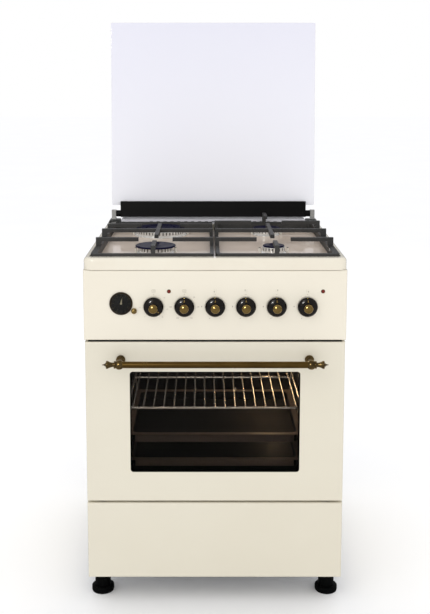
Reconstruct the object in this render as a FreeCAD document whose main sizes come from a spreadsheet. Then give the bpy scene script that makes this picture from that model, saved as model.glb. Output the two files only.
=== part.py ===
"""A free-standing 60 cm range cooker: gas hob with a glass lid, electric oven, lower drawer.

Millimetres. X runs to the right, Y to the back, Z up. The origin is on the floor, in the
middle of the cooker's plan, with the door handle's reach counted in its depth.
"""
import FreeCAD, Part
import math
import os
import re

import Sketcher

Vector = FreeCAD.Vector
Rotation = FreeCAD.Rotation

# ---------------------------------------------------------------- driving dimensions
SIZES = {
    # the whole cooker
    "cooker_width": 600,
    "cooker_depth": 600,
    "hob_rim": 830,
    "steel_sheet": 1.2,
    "enamel_sheet": 1.5,
    "front_edge_round": 4,
    "seat_gap": 0.3,
    "running_gap": 0.05,
    "dome_flat": 0.8,
    # faces of the front, from the hob down
    "hob_skirt": 27,
    "panel_seam": 0.6,
    "panel_height": 163,
    "door_gap": 4,
    "door_height": 382,
    "drawer_gap": 4.5,
    "face_inset": 2,
    "foot_height": 64,
    "drawer_ground_gap": 1,
    # oven door
    "door_thickness": 38,
    "hinge_inset": 10,
    "hinge_lift": 12,
    "hinge_side_inset": 38,
    "hinge_pin": 3,
    "claw_width": 8,
    "claw_radius": 5,
    "claw_clearance": 1,
    "hinge_block_width": 13,
    "hinge_block_height": 62,
    "receiver_depth": 26,
    "window_width": 392,
    "window_height": 241,
    "window_rise": 71,
    "window_round": 7,
    "glass_thickness": 4,
    "glass_lap": 16,
    # handle
    "handle_rise": 341,
    "handle_standoff": 42,
    "handle_bar": 7.5,
    "handle_ball": 11,
    "handle_span": 432,
    "finial_ring": 8.5,
    "finial_ring_length": 3.5,
    "finial_waist": 5,
    "finial_waist_length": 3.5,
    "finial_flare": 9,
    "finial_flare_length": 11,
    "finial_edge_length": 3,
    "finial_point_length": 9.5,
    "handle_neck": 5.5,
    "handle_foot": 10.5,
    "handle_foot_length": 4,
    "handle_foot_taper": 6,
    # oven
    "seal_space": 3,
    "cavity_rise": 46,
    "cavity_width": 430,
    "cavity_height": 306,
    "cavity_depth": 410,
    "cavity_flange_rise": 27,
    "insulation": 28,
    "element_space": 9,
    "element_rod": 3.25,
    "element_bend": 14,
    "element_end_space": 60,
    "grill_drop": 20,
    "grill_half_width": 150,
    "grill_pitch": 100,
    "bottom_element_half_width": 140,
    "seal_width": 8,
    "seal_margin": 5,
    "seal_round": 18,
    "lamp_side_space": 65,
    "lamp_drop": 51,
    "lamp_radius": 25,
    "lamp_depth": 20,
    # racks
    "rack_levels_rise": 32,
    "rack_level_count": 5,
    "rack_top_space": 25,
    "guide_wire": 2.5,
    "guide_weld": 1,
    "guide_front_space": 14,
    "guide_length": 360,
    "guide_top_space": 30,
    "rack_front_space": 14,
    "rack_length": 330,
    "rack_side_space": 5.5,
    "rack_rod": 3,
    "rack_wire": 2,
    "rack_wire_pitch": 24.2,
    "rack_middle_rod": 237,
    "tray_sheet": 1.2,
    "tray_rim": 12,
    "tray_depth": 22,
    "deep_tray_depth": 26,
    "tray_round": 18,
    # drawer
    "drawer_face": 38,
    "drawer_side_space": 38,
    "drawer_rear_space": 70,
    "drawer_box_height": 108,
    "drawer_box_rise": 17,
    "drawer_sheet": 1,
    "drawer_lip": 10,
    "runner_height": 18,
    "runner_front_space": 18,
    "runner_rear_space": 18.6,
    "shelf_rise": 2,
    # hob
    "hob_corner": 22,
    "hob_edge": 8,
    "recess_depth": 12,
    "recess_side": 12,
    "recess_front": 24,
    "recess_back": 78,
    "recess_round": 6,
    "burner_offset": 142,
    "front_burner": 140,
    "rear_burner_space": 188,
    "crown_height": 15,
    "cap_height": 4,
    "crown_flange": 3,
    "crown_flange_height": 2,
    "cup_height": 30,
    "cup_share": 0.6,
    "rapid_crown": 42,
    "rapid_cap": 48.5,
    "wok_crown": 67,
    "wok_cap": 65,
    "medium_crown": 33,
    "medium_cap": 36,
    "small_crown": 28,
    "small_cap": 26,
    "igniter_radius": 2.5,
    "igniter_height": 13.5,
    # pan supports
    "support_gap": 6,
    "support_clearance": 3,
    "support_end_clearance": 1,
    "support_round": 5,
    "frame_height": 18,
    "front_bar": 8,
    "inner_bar": 8,
    "outer_bar": 14,
    "frame_hole_round": 8,
    "finger_width": 10,
    "finger_height": 9,
    "finger_top": 25,
    "finger_reach": 41,
    "wok_finger_top": 17,
    "wok_finger_reach": 52,
    "rear_finger_top": 32,
    # vent strip
    "vent_run": 74,
    "vent_side_space": 42,
    "vent_height": 11,
    "vent_back_space": 2,
    "slot_count": 19,
    "slot_pitch": 19.3,
    "slot_width": 9,
    "slot_height": 3,
    "slot_rise": 3.5,
    # lid
    "lid_axis_rise": 25,
    "lid_axis_space": 44,
    "lid_lean": 3,
    "lid_side_space": 13,
    "lid_length": 536,
    "lid_glass": 5,
    "lid_glass_low": 23,
    "lid_glass_behind": 11,
    "lid_round": 3,
    "rail_side_space": 38,
    "rail_low": 10,
    "rail_high": 34,
    "rail_front": 6,
    "rail_lip": 3,
    "stub_radius": 9,
    "post_side_space": 13,
    "post_width": 12.3,
    "post_depth": 14,
    "post_over_axis": 10,
    "post_foot_width": 36,
    "post_foot_depth": 40,
    "post_foot_height": 8,
    "post_foot_side_space": 4,
    "post_foot_slope": 4,
    "lid_pin": 3,
    "lid_pin_length": 6,
    # controls
    "control_rise": 79,
    "control_pitch": 70,
    "first_knob": -140,
    "knob_gap": 5,
    "knob_skirt": 22.5,
    "knob_skirt_height": 3,
    "knob_ring": 14.5,
    "knob_ring_height": 11,
    "knob_neck": 10.5,
    "knob_dome": 9,
    "knob_length": 27,
    "knob_bore_depth": 14,
    "spindle": 3,
    "spindle_hole": 4.5,
    "collar_lap": 2,
    "collar_back": 3.5,
    "push_travel": 4,
    "tap_front": 8,
    "tap_width": 26,
    "tap_height": 30,
    "tap_depth": 34,
    "tap_bore_depth": 22,
    "switch_radius": 20,
    "switch_front": 6,
    "switch_depth": 28,
    "timer_offset": -214,
    "timer_rise": 86,
    "dial_radius": 26.5,
    "dial_bezel": 3,
    "dial_bezel_height": 3,
    "dial_face_height": 0.6,
    "timer_hole_margin": 3,
    "timer_case_width": 66,
    "timer_case_height": 60,
    "timer_case_depth": 30,
    "arbor": 0.8,
    "hand_thickness": 0.4,
    "hand_hub": 2.2,
    "hour_hand_length": 10.5,
    "minute_hand_length": 16,
    "hand_width": 1.6,
    "hour_hand_angle": 1,
    "crown_side": 29.5,
    "crown_drop": 17,
    "timer_crown": 6.5,
    "timer_crown_length": 8,
    "timer_crown_shaft": 2,
    "timer_crown_shaft_length": 10,
    "lamp_lens": 3.5,
    "lamp_lens_height": 1.8,
    "pilot_left": -105,
    "pilot_right": 245,
    "pilot_rise": 114,
    "pilot_flange": 5,
    "pilot_flange_length": 2,
    "pilot_depth": 12,
    "hole_margin": 0.1,
    # gas
    "manifold": 16,
    "manifold_wall": 1.5,
    "manifold_left": -30,
    "feed_side_space": 45,
    "feed_pipe": 8,
    "inlet_radius": 10.4775,
    "inlet_length": 22,
    "burner_pipe": 4,
    "pipe_bend": 8,
    "cup_wall": 4,
    "pipe_drop": 15,
    "pipe_crossing_drop": 12,
    # back and base
    "back_recess": 40,
    "back_width_gap": 0.4,
    "casing_flange": 14,
    "rear_flange": 20,
    "screw_shank": 2,
    "screw_head": 4,
    "screw_head_height": 2.5,
    "screw_length": 7,
    "screw_inset": 11,
    "screw_first": 100,
    "screw_pitch": 200,
    "terminal_width": 80,
    "terminal_height": 60,
    "terminal_depth": 22,
    "terminal_side_space": 90,
    "terminal_rise": 120,
    "gland_radius": 9,
    "gland_length": 14,
    "gland_bore": 4.5,
    "foot_disc": 26,
    "foot_disc_height": 14,
    "foot_disc_round": 4,
    "foot_stem": 18.75,
    "foot_stud": 5,
    "foot_stud_length": 12,
    "foot_side_inset": 29,
    "foot_inset": 66,
    "boss_radius": 12,
}

# ---------------------------------------------------------------- places worked out from them
PLACES = {
    "front": "(handle_standoff + handle_ball - cooker_depth) / 2",
    "rear": "front + cooker_depth",
    "half_width": "cooker_width / 2",
    "face_half": "half_width - face_inset",
    # heights
    "hob_bottom": "hob_rim - hob_skirt",
    "hob_floor": "hob_rim - recess_depth",
    "panel_top": "hob_bottom - panel_seam",
    "panel_bottom": "hob_bottom - panel_height",
    "door_top": "panel_bottom - door_gap",
    "door_bottom": "door_top - door_height",
    "drawer_top": "door_bottom - drawer_gap",
    "drawer_bottom": "foot_height + drawer_ground_gap",
    "window_bottom": "door_bottom + window_rise",
    "cavity_floor": "door_bottom + cavity_rise",
    "cavity_roof": "cavity_floor + cavity_height",
    "shelf_bottom": "drawer_top + shelf_rise",
    "shelf_top": "shelf_bottom + steel_sheet",
    "control_line": "panel_bottom + control_rise",
    "timer_line": "panel_bottom + timer_rise",
    "handle_line": "door_bottom + handle_rise",
    # depths
    "door_back": "front + door_thickness",
    "liner_front": "door_back - enamel_sheet",
    "flange_front": "door_back + seal_space",
    "casing_front": "flange_front + steel_sheet",
    "cavity_back": "flange_front + cavity_depth",
    "back_front": "rear - back_recess",
    "back_rear": "back_front + steel_sheet",
    "inside_front": "casing_front + steel_sheet",
    # door hinge and lid hinge
    "hinge_y": "front + hinge_inset",
    "hinge_z": "door_bottom + hinge_lift",
    "hinge_offset": "half_width - hinge_side_inset",
    "lid_y": "rear - lid_axis_space",
    "lid_z": "hob_rim + lid_axis_rise",
    "lid_half_width": "half_width - lid_side_space",
    "rail_half_width": "half_width - rail_side_space",
    "post_inner": "half_width - post_side_space - post_width",
    "post_foot_inner": "half_width - post_foot_side_space - post_foot_width",
    # handle
    "handle_y": "front - handle_standoff",
    "ball_flat": "sqrt(handle_ball^2 - handle_bar^2)",
    "handle_bar_half": "handle_span / 2 - ball_flat",
    "ring_end": "ball_flat + finial_ring_length",
    "waist_end": "ring_end + finial_waist_length",
    "flare_end": "waist_end + finial_flare_length",
    "edge_end": "flare_end + finial_edge_length",
    # racks
    "rack_pitch": "(cavity_height - rack_levels_rise - rack_top_space) / (rack_level_count - 1)",
    "lamp_offset": "cavity_width / 2 - lamp_side_space",
    "rack_half": "cavity_width / 2 - rack_side_space",
    "rack_front": "flange_front + rack_front_space",
    "guide_front": "flange_front + guide_front_space",
    "guide_x": "cavity_width / 2 - guide_wire",
    "guide_rail_x": "guide_x - 2 * guide_wire + guide_weld",
    # drawer, feet and back
    "drawer_half": "half_width - drawer_side_space",
    "drawer_box_depth": "cooker_depth - back_recess - drawer_face - drawer_rear_space",
    "runner_length": "back_front - inside_front - runner_front_space - runner_rear_space",
    "foot_offset": "half_width - foot_side_inset",
    "terminal_offset": "terminal_side_space - half_width",
    # hob
    "rear_burner": "cooker_depth - rear_burner_space",
    "vent_front": "cooker_depth - vent_run",
    "vent_half_width": "half_width - vent_side_space",
    "support_low": "hob_floor + seat_gap",
    "support_inner": "support_gap / 2",
    "support_outer": "half_width - recess_side - support_clearance",
    "support_front": "front + recess_front + support_end_clearance",
    "support_back": "rear - recess_back - support_end_clearance",
    "frame_top": "support_low + frame_height",
    "middle_bar": "front + (front_burner + rear_burner) / 2",
    "recess_end": "rear - recess_back",
    "crown_top": "hob_floor + crown_height",
    # controls and gas
    "crown_offset": "timer_offset + crown_side",
    "crown_rise": "timer_rise - crown_drop",
    "feed_offset": "half_width - feed_side_space",
    "spindle_collar": "spindle_hole + collar_lap",
    "tap_back": "front + tap_front + tap_depth",
    "manifold_y": "tap_back + manifold / 2",
    "tap_top": "control_line + tap_height / 2",
    "cup_bottom": "hob_floor - enamel_sheet - cup_height",
    "pipe_z": "cup_bottom - pipe_drop",
}

doc = FreeCAD.newDocument("RangeCooker")
sheet = doc.addObject("Spreadsheet::Sheet", "Sizes")
for row, (alias, value) in enumerate(SIZES.items(), 1):
    sheet.set(f"A{row}", alias)
    sheet.set(f"B{row}", str(value))
    sheet.setAlias(f"B{row}", alias)
doc.recompute()

nodes = []


# ---------------------------------------------------------------- formulas
def spelled_out(text, prefix):
    """A formula with each place written out, and each size given the prefix or its value."""
    def word(match):
        name = match.group(0)
        if name in PLACES:
            return f"({spelled_out(PLACES[name], prefix)})"
        if name in SIZES:
            return f"{prefix}{name}" if prefix else f"({sheet.get(name)})"
        return name
    return re.sub(r"[a-z_]+", word, str(text))


def formula(text):
    """The formula as an expression on the sheet's cells."""
    return spelled_out(text, "Sizes.")


def number(text):
    """The formula's value now."""
    return FreeCAD.Units.Quantity(spelled_out(text, "")).Value


# ---------------------------------------------------------------- placing and joining
def bind(item, **sizes):
    """Ties properties of an object to formulas."""
    for name, text in sizes.items():
        item.setExpression(name, formula(text))
    return item


def put(item, x=0, y=0, z=0, turn=None):
    """Places an object; turn is an axis and an angle in degrees."""
    if turn:
        axis, angle = turn
        item.Placement = FreeCAD.Placement(Vector(), Rotation(Vector(*axis), 0))
        item.setExpression(".Placement.Rotation.Angle", formula(angle))
        item.Placement.Rotation = Rotation(Vector(*axis), number(angle))
    item.setExpression(".Placement.Base.x", formula(x))
    item.setExpression(".Placement.Base.y", formula(y))
    item.setExpression(".Placement.Base.z", formula(z))
    return item


# the turn that brings a piece's own Z axis to each direction
TOWARDS = {
    "up": None,
    "down": ((1, 0, 0), 180),
    "front": ((1, 0, 0), 90),
    "back": ((-1, 0, 0), 90),
    "right": ((0, 1, 0), 90),
    "left": ((0, -1, 0), 90),
}


def box(name, x, y, z):
    """A box from three pairs of low and high formulas."""
    item = doc.addObject("Part::Box", name)
    bind(item, Length=f"({x[1]}) - ({x[0]})", Width=f"({y[1]}) - ({y[0]})",
         Height=f"({z[1]}) - ({z[0]})")
    return put(item, x[0], y[0], z[0])


def rod(name, radius, length, x=0, y=0, z=0, towards="up"):
    """A cylinder that starts at a point and runs in one direction."""
    item = doc.addObject("Part::Cylinder", name)
    bind(item, Radius=radius, Height=length)
    return put(item, x, y, z, TOWARDS[towards])


def joined(name, pieces):
    """One solid made of overlapping or touching pieces."""
    item = doc.addObject("Part::MultiFuse", name)
    item.Shapes = pieces
    item.Refine = True
    return item


def group(name, pieces):
    """Separate solids kept as one object."""
    item = doc.addObject("Part::Compound", name)
    item.Links = pieces
    return item


def cut(name, base, tools):
    """The base without the tools."""
    item = doc.addObject("Part::Cut", name)
    item.Base = base
    item.Tool = tools[0] if len(tools) == 1 else joined(f"{name}_tools", tools)
    return item


def node(name, item):
    """Keeps an object as a sub-part of the cooker under its own name."""
    item.Label = name
    nodes.append(item)
    return item


# ---------------------------------------------------------------- sketched bodies
def origin_plane(body, role):
    """One of a body's own origin planes."""
    return next(f for f in body.Origin.OriginFeatures if f.Role == role)


def sketch(body, name, role, corners):
    """A closed outline. A corner is (x, y); (x, y, "arc") is a point that an arc passes through."""
    item = body.newObject("Sketcher::SketchObject", name)
    item.AttachmentSupport = [(origin_plane(body, role), "")]
    item.MapMode = "FlatFace"
    vertices = [c for c in corners if len(c) == 2]
    start = corners.index(vertices[0])
    ring = corners[start:] + corners[:start] + [corners[start]]
    spans = []
    middle = None
    last = ring[0]
    for corner in ring[1:]:
        if len(corner) == 3:
            middle = corner[:2]
            continue
        spans.append((last, middle, corner))
        last, middle = corner, None
    heads = []
    for first, middle, second in spans:
        if middle:
            edge, onward = arc_through(point(first), point(middle), point(second))
        else:
            edge, onward = Part.LineSegment(point(first), point(second)), True
        item.addGeometry(edge, False)
        heads.append(1 if onward else 2)
    for place in range(len(spans)):
        following = (place + 1) % len(spans)
        item.addConstraint(Sketcher.Constraint(
            "Coincident", place, 3 - heads[place], following, heads[following]))
    for place, (first, middle, second) in enumerate(spans):
        locate(item, place, heads[place], first)
        if middle:
            dot = item.addGeometry(Part.Point(point(middle)), True)
            locate(item, dot, 1, middle)
            item.addConstraint(Sketcher.Constraint("PointOnObject", dot, 1, place))
    return item


def point(corner):
    """A corner's place in its sketch."""
    return Vector(number(corner[0]), number(corner[1]), 0)


def arc_through(first, middle, second):
    """The anticlockwise arc through three points, and whether it starts at the first."""
    whole = Part.Arc(first, middle, second).toShape().Curve
    onward = (middle - first).cross(second - middle).z > 0
    ends = (first, second) if onward else (second, first)
    angles = [math.atan2(end.y - whole.Center.y, end.x - whole.Center.x) for end in ends]
    circle = Part.Circle(whole.Center, Vector(0, 0, 1), whole.Radius)
    return Part.ArcOfCircle(circle, *angles), onward


def locate(item, geometry, end, corner):
    """Ties a sketch point to two formulas, measured from the sketch's origin."""
    for kind, text in zip(("DistanceX", "DistanceY"), corner):
        place = item.addConstraint(
            Sketcher.Constraint(kind, -1, 1, geometry, end, number(text)))
        item.setExpression(f"Constraints[{place}]", formula(text))


def turned(name, corners, x=0, y=0, z=0, towards="up"):
    """A body turned about its own Z axis from (radius, height) corners."""
    body = doc.addObject("PartDesign::Body", name)
    outline = sketch(body, f"{name}_outline", "XZ_Plane", corners)
    turn = body.newObject("PartDesign::Revolution", f"{name}_turn")
    turn.Profile = outline
    turn.ReferenceAxis = (outline, ["V_Axis"])
    turn.Angle = 360
    outline.Visibility = False
    return put(body, x, y, z, TOWARDS[towards])


def plate(name, corners, role, thickness, x=0, y=0, z=0):
    """A body padded from an outline: up from XY_Plane, towards the front from XZ_Plane,
    to the right from YZ_Plane."""
    body = doc.addObject("PartDesign::Body", name)
    outline = sketch(body, f"{name}_outline", role, corners)
    pad = body.newObject("PartDesign::Pad", f"{name}_pad")
    pad.Profile = outline
    bind(pad, Length=thickness)
    outline.Visibility = False
    return put(body, x, y, z)


def rounded_box(name, x, y, z, radius, along="z", edge=None):
    """A box with its four edges along one axis rounded, and then, with edge, its top ones."""
    body = doc.addObject("PartDesign::Body", name)
    block = body.newObject("PartDesign::AdditiveBox", f"{name}_block")
    bind(block, Length=f"({x[1]}) - ({x[0]})", Width=f"({y[1]}) - ({y[0]})",
         Height=f"({z[1]}) - ({z[0]})")
    doc.recompute()
    axis = {"x": Vector(1, 0, 0), "y": Vector(0, 1, 0), "z": Vector(0, 0, 1)}[along]
    sides = [f"Edge{i}" for i, e in enumerate(block.Shape.Edges, 1)
             if abs(e.tangentAt(e.FirstParameter).dot(axis)) > 0.99]
    fillet = body.newObject("PartDesign::Fillet", f"{name}_fillet")
    fillet.Base = (block, sides)
    bind(fillet, Radius=radius)
    if edge:
        doc.recompute()
        top = fillet.Shape.BoundBox.ZMax
        rims = [f"Edge{i}" for i, e in enumerate(fillet.Shape.Edges, 1)
                if e.BoundBox.ZMin > top - 1e-3]
        rim = body.newObject("PartDesign::Fillet", f"{name}_rim")
        rim.Base = (fillet, rims)
        bind(rim, Radius=edge)
    return put(body, x[0], y[0], z[0])


def faced_box(name, x, y, z):
    """A box whose front face has rounded edges, as a pressed steel front has."""
    body = doc.addObject("PartDesign::Body", name)
    block = body.newObject("PartDesign::AdditiveBox", f"{name}_block")
    bind(block, Length=f"({x[1]}) - ({x[0]})", Width=f"({y[1]}) - ({y[0]})",
         Height=f"({z[1]}) - ({z[0]})")
    doc.recompute()
    rims = [f"Edge{i}" for i, e in enumerate(block.Shape.Edges, 1) if e.BoundBox.YMax < 1e-3]
    fillet = body.newObject("PartDesign::Fillet", f"{name}_fillet")
    fillet.Base = (block, rims)
    bind(fillet, Radius="front_edge_round")
    return put(body, x[0], y[0], z[0])


def pressed_front(name, half, z, depth, sheet_size):
    """A pressed steel front: a face with returns, open at the back."""
    outer = faced_box(f"{name}_outside", (f"-{half}", half), ("front", f"front + {depth}"), z)
    inner = box(f"{name}_inside", (f"{sheet_size} - {half}", f"{half} - {sheet_size}"),
                (f"front + {sheet_size}", f"front + {depth} + 1"),
                (f"{z[0]} + {sheet_size}", f"{z[1]} - {sheet_size}"))
    return cut(f"{name}_pan", outer, [inner])


def bent_tube(name, points, bend, radius):
    """A tube of straight runs joined by tangent arcs, from corner points given as formulas."""
    corners = [Vector(*(number(c) for c in point)) for point in points]
    turn_radius = number(bend)
    edges = []
    start = corners[0]
    for before, corner, after in zip(corners, corners[1:], corners[2:]):
        back = (before - corner).normalize()
        on = (after - corner).normalize()
        half = back.getAngle(on) / 2
        middle = (back + on).normalize()
        reach = turn_radius / math.tan(half)
        centre = corner + middle * (reach ** 2 + turn_radius ** 2) ** 0.5
        entry, leave = corner + back * reach, corner + on * reach
        edges.append(Part.LineSegment(start, entry).toShape())
        edges.append(Part.Arc(entry, centre - middle * turn_radius, leave).toShape())
        start = leave
    edges.append(Part.LineSegment(start, corners[-1]).toShape())
    path = Part.Wire(edges)
    ring = Part.Wire(Part.makeCircle(number(radius), corners[0], corners[1] - corners[0]))
    item = doc.addObject("Part::Feature", name)
    item.Shape = path.makePipeShell([ring], True, False)
    item.Placement = FreeCAD.Placement()
    return item


# ---------------------------------------------------------------- casing
def side_panel(side, name):
    """Outer sheet from the door's back to the rear, with a front and a rear flange."""
    outer = "half_width"
    inner = "half_width - steel_sheet"

    def across(low, high):
        return (low, high) if side > 0 else (f"-({high})", f"-({low})")

    heights = ("foot_height", "hob_bottom")
    skin = box(f"{name}_skin", across(inner, outer), ("casing_front", "rear"), heights)
    front_flange = box(f"{name}_front_flange", across("half_width - casing_flange", inner),
                       ("casing_front", "inside_front"), heights)
    rear_flange = box(f"{name}_rear_flange", across("half_width - rear_flange", inner),
                      ("back_front - steel_sheet", "back_front"), heights)
    body = joined(f"{name}_sheet", [skin, front_flange, rear_flange])
    node(name, cut(f"{name}_cut", body, screw_rods(f"{name}_holes", "screw_shank + hole_margin",
                                                   "0", "screw_length", (side,))))


def screw_rods(name, radius, head_space, length, sides):
    """The rods of the rear screws, or of their holes, from the back panel's rear face inward."""
    return [rod(f"{name}_{side}_{level}".replace("-", "m"), radius, length,
                x=f"{side} * (half_width - screw_inset)", y=f"back_rear + {head_space}",
                z=f"screw_first + {level} * screw_pitch", towards="front")
            for side in sides for level in range(4)]


def casing():
    """Side panels, back panel, rear screws and the terminal cover."""
    side_panel(-1, "side_panel_left")
    side_panel(1, "side_panel_right")
    reach = "half_width - steel_sheet - back_width_gap"
    sheet_box = box("back_sheet", (f"-({reach})", reach), ("back_front", "back_rear"),
                    ("foot_height + steel_sheet", "hob_bottom"))
    inlet_hole = rod("inlet_hole", "feed_pipe + seat_gap", "4 * steel_sheet", x="feed_offset",
                     y="back_front - steel_sheet", z="control_line", towards="back")
    holes = screw_rods("back_holes", "screw_shank + hole_margin", "0", "screw_length", (-1, 1))
    node("back_panel", cut("back_cut", sheet_box, holes + [inlet_hole]))
    screws = []
    shanks = screw_rods("screw_shanks", "screw_shank", "screw_head_height",
                        "screw_length + screw_head_height", (-1, 1))
    heads = screw_rods("screw_heads", "screw_head", "screw_head_height", "screw_head_height", (-1, 1))
    for place, (shank, head) in enumerate(zip(shanks, heads)):
        screws.append(joined(f"screw_{place}", [shank, head]))
    node("casing_screws", group("screw_group", screws))
    cover = box("terminal_box",
                ("terminal_offset - terminal_width / 2", "terminal_offset + terminal_width / 2"),
                ("back_rear", "back_rear + terminal_depth"),
                ("terminal_rise", "terminal_rise + terminal_height"))
    gland = rod("cable_gland", "gland_radius", "gland_length", x="terminal_offset",
                y="back_rear + terminal_depth / 2", z="terminal_rise", towards="down")
    entry = rod("cable_entry", "gland_bore", "gland_length + 1", x="terminal_offset",
                y="back_rear + terminal_depth / 2", z="terminal_rise", towards="down")
    node("terminal_cover", cut("terminal_cut", joined("terminal_joined", [cover, gland]), [entry]))


def base():
    """Base plate with the feet's bosses, the shelf over the drawer, the feet and the runners."""
    inside = "half_width - steel_sheet"
    floor = box("base_plate", (f"-({inside})", inside), ("inside_front", "back_front - steel_sheet"),
                ("foot_height", "foot_height + steel_sheet"))
    bosses = []
    bores = []
    feet = []
    radius = "foot_stud + running_gap"
    stud_top = "foot_height + foot_stud_length"
    for place, (side, y) in enumerate(foot_places()):
        x = f"{side} * foot_offset"
        bosses.append(rod(f"boss_{place}", "boss_radius", "foot_stud_length", x, y, "foot_height"))
        bores.append(rod(f"boss_bore_{place}", radius, "foot_stud_length + 2", x, y, "foot_height - 1"))
        feet.append(turned(f"foot_{place}", [
            (0, 0), ("foot_disc", 0), ("foot_disc", "foot_disc_height - foot_disc_round"),
            ("foot_disc - foot_disc_round * 0.293", "foot_disc_height - foot_disc_round * 0.293", "arc"),
            ("foot_disc - foot_disc_round", "foot_disc_height"),
            ("foot_stem", "foot_disc_height"), ("foot_stem", "foot_height"),
            ("foot_stud", "foot_height"), ("foot_stud", stud_top), (0, stud_top)], x, y))
    node("base_frame", cut("base_cut", joined("base_joined", [floor] + bosses), bores))
    node("levelling_feet", group("feet_group", feet))
    shelf = box("shelf_plate", (f"-({inside})", inside), ("inside_front", "back_front - steel_sheet"),
                ("shelf_bottom", "shelf_top"))
    lip = box("shelf_lip", (f"-({inside})", inside), ("inside_front", "inside_front + steel_sheet"),
              ("shelf_bottom - runner_height", "shelf_top"))
    node("drawer_shelf", joined("shelf_joined", [shelf, lip]))


def foot_places():
    """Side and depth of each levelling foot."""
    depths = ("front + foot_inset", "rear - foot_inset")
    return [(side, y) for side in (-1, 1) for y in depths]


# ---------------------------------------------------------------- oven
def oven():
    """Cavity, insulation, seal, rack guides, heating elements and lamp."""
    half = "cavity_width / 2"
    flange_half = "half_width - 1"
    flange = box("cavity_flange", (f"-({flange_half})", flange_half), ("flange_front", "casing_front"),
                 ("door_bottom + cavity_flange_rise", "door_top"))
    skin = "steel_sheet"
    shell = box("cavity_shell", (f"-({half} + {skin})", f"{half} + {skin}"),
                ("flange_front", f"cavity_back + {skin}"),
                (f"cavity_floor - {skin}", f"cavity_roof + {skin}"))
    space = box("cavity_space", (f"-({half})", half), ("flange_front - 1", "cavity_back"),
                ("cavity_floor", "cavity_roof"))
    node("oven_cavity", cut("cavity_cut", joined("cavity_joined", [flange, shell]), [space]))

    wrap = "(steel_sheet + insulation)"
    room = "(steel_sheet + seat_gap)"
    wool = box("wool_outside", (f"-({half} + {wrap})", f"{half} + {wrap}"),
               ("casing_front + seat_gap", f"cavity_back + {wrap}"),
               (f"cavity_floor - {wrap}", f"cavity_roof + {wrap}"))
    hollow = box("wool_inside", (f"-({half} + {room})", f"{half} + {room}"),
                 ("casing_front - 1", f"cavity_back + {room}"),
                 (f"cavity_floor - {room} - element_space", f"cavity_roof + {room}"))
    node("oven_insulation", cut("wool_cut", wool, [hollow]))

    out = "(seal_margin + seal_width)"
    seal_y = ("door_back + seat_gap", "flange_front")
    ring = rounded_box("seal_outside", (f"-({half} + {out})", f"{half} + {out}"), seal_y,
                       (f"cavity_floor - {out}", f"cavity_roof + {out}"), "seal_round", "y")
    gap = rounded_box("seal_inside", (f"-({half} + seal_margin)", f"{half} + seal_margin"), seal_y,
                      ("cavity_floor - seal_margin", "cavity_roof + seal_margin"),
                      "seal_round - seal_width", "y")
    node("door_seal", cut("seal_cut", ring, [gap]))

    node("rack_guides", group("guides_group", [guide_ladder(-1), guide_ladder(1)]))

    grill_z = "cavity_roof - grill_drop"
    rear_y = "cavity_back"
    near_y = "flange_front + element_end_space"
    far_y = "cavity_back - element_end_space"
    outer, inner = "grill_half_width", "grill_half_width - grill_pitch"
    grill = bent_tube("grill_element", [
        (f"-({outer})", rear_y, grill_z), (f"-({outer})", near_y, grill_z),
        (f"-({inner})", near_y, grill_z), (f"-({inner})", far_y, grill_z),
        (inner, far_y, grill_z), (inner, near_y, grill_z),
        (outer, near_y, grill_z), (outer, rear_y, grill_z)], "element_bend", "element_rod")
    low_z = "cavity_floor - steel_sheet - seat_gap - element_rod"
    wide = "bottom_element_half_width"
    bottom = bent_tube("bottom_element", [
        (f"-({wide})", far_y, low_z), (f"-({wide})", near_y, low_z), (wide, near_y, low_z),
        (wide, far_y, low_z)], "element_bend", "element_rod")
    node("heating_elements", group("element_group", [grill, bottom]))

    node("oven_lamp", turned("lamp_body", [
        (0, 0), ("lamp_radius", 0), ("lamp_radius", "lamp_depth * 0.4"),
        ("lamp_radius * 0.9", "lamp_depth * 0.4"),
        ("lamp_radius * 0.64", "lamp_depth * 0.79", "arc"), ("dome_flat", "lamp_depth"),
        (0, "lamp_depth")],
        "lamp_offset", "cavity_back", "cavity_roof - lamp_drop", "front"))


def guide_ladder(side):
    """A chrome side guide: two uprights against the wall and a runner wire for each level."""
    name = "left_guide" if side < 0 else "right_guide"
    low = "cavity_floor + guide_wire + seat_gap"
    bars = []
    for place, share in enumerate(("guide_wire", "guide_length - guide_wire")):
        bars.append(rod(f"{name}_upright_{place}", "guide_wire",
                        "cavity_height - guide_top_space",
                        f"{side} * guide_x", f"guide_front + {share}", low))
    for level in range(int(number("rack_level_count"))):
        height = f"cavity_floor + rack_levels_rise + {level} * rack_pitch - seat_gap - guide_wire"
        bars.append(rod(f"{name}_runner_{level}", "guide_wire", "guide_length",
                        f"{side} * guide_rail_x", "guide_front", height, "back"))
    return joined(name, bars)


def level_height(level):
    """Height at which a rack or tray rests at a level."""
    return f"cavity_floor + rack_levels_rise + {level} * rack_pitch"


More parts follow.
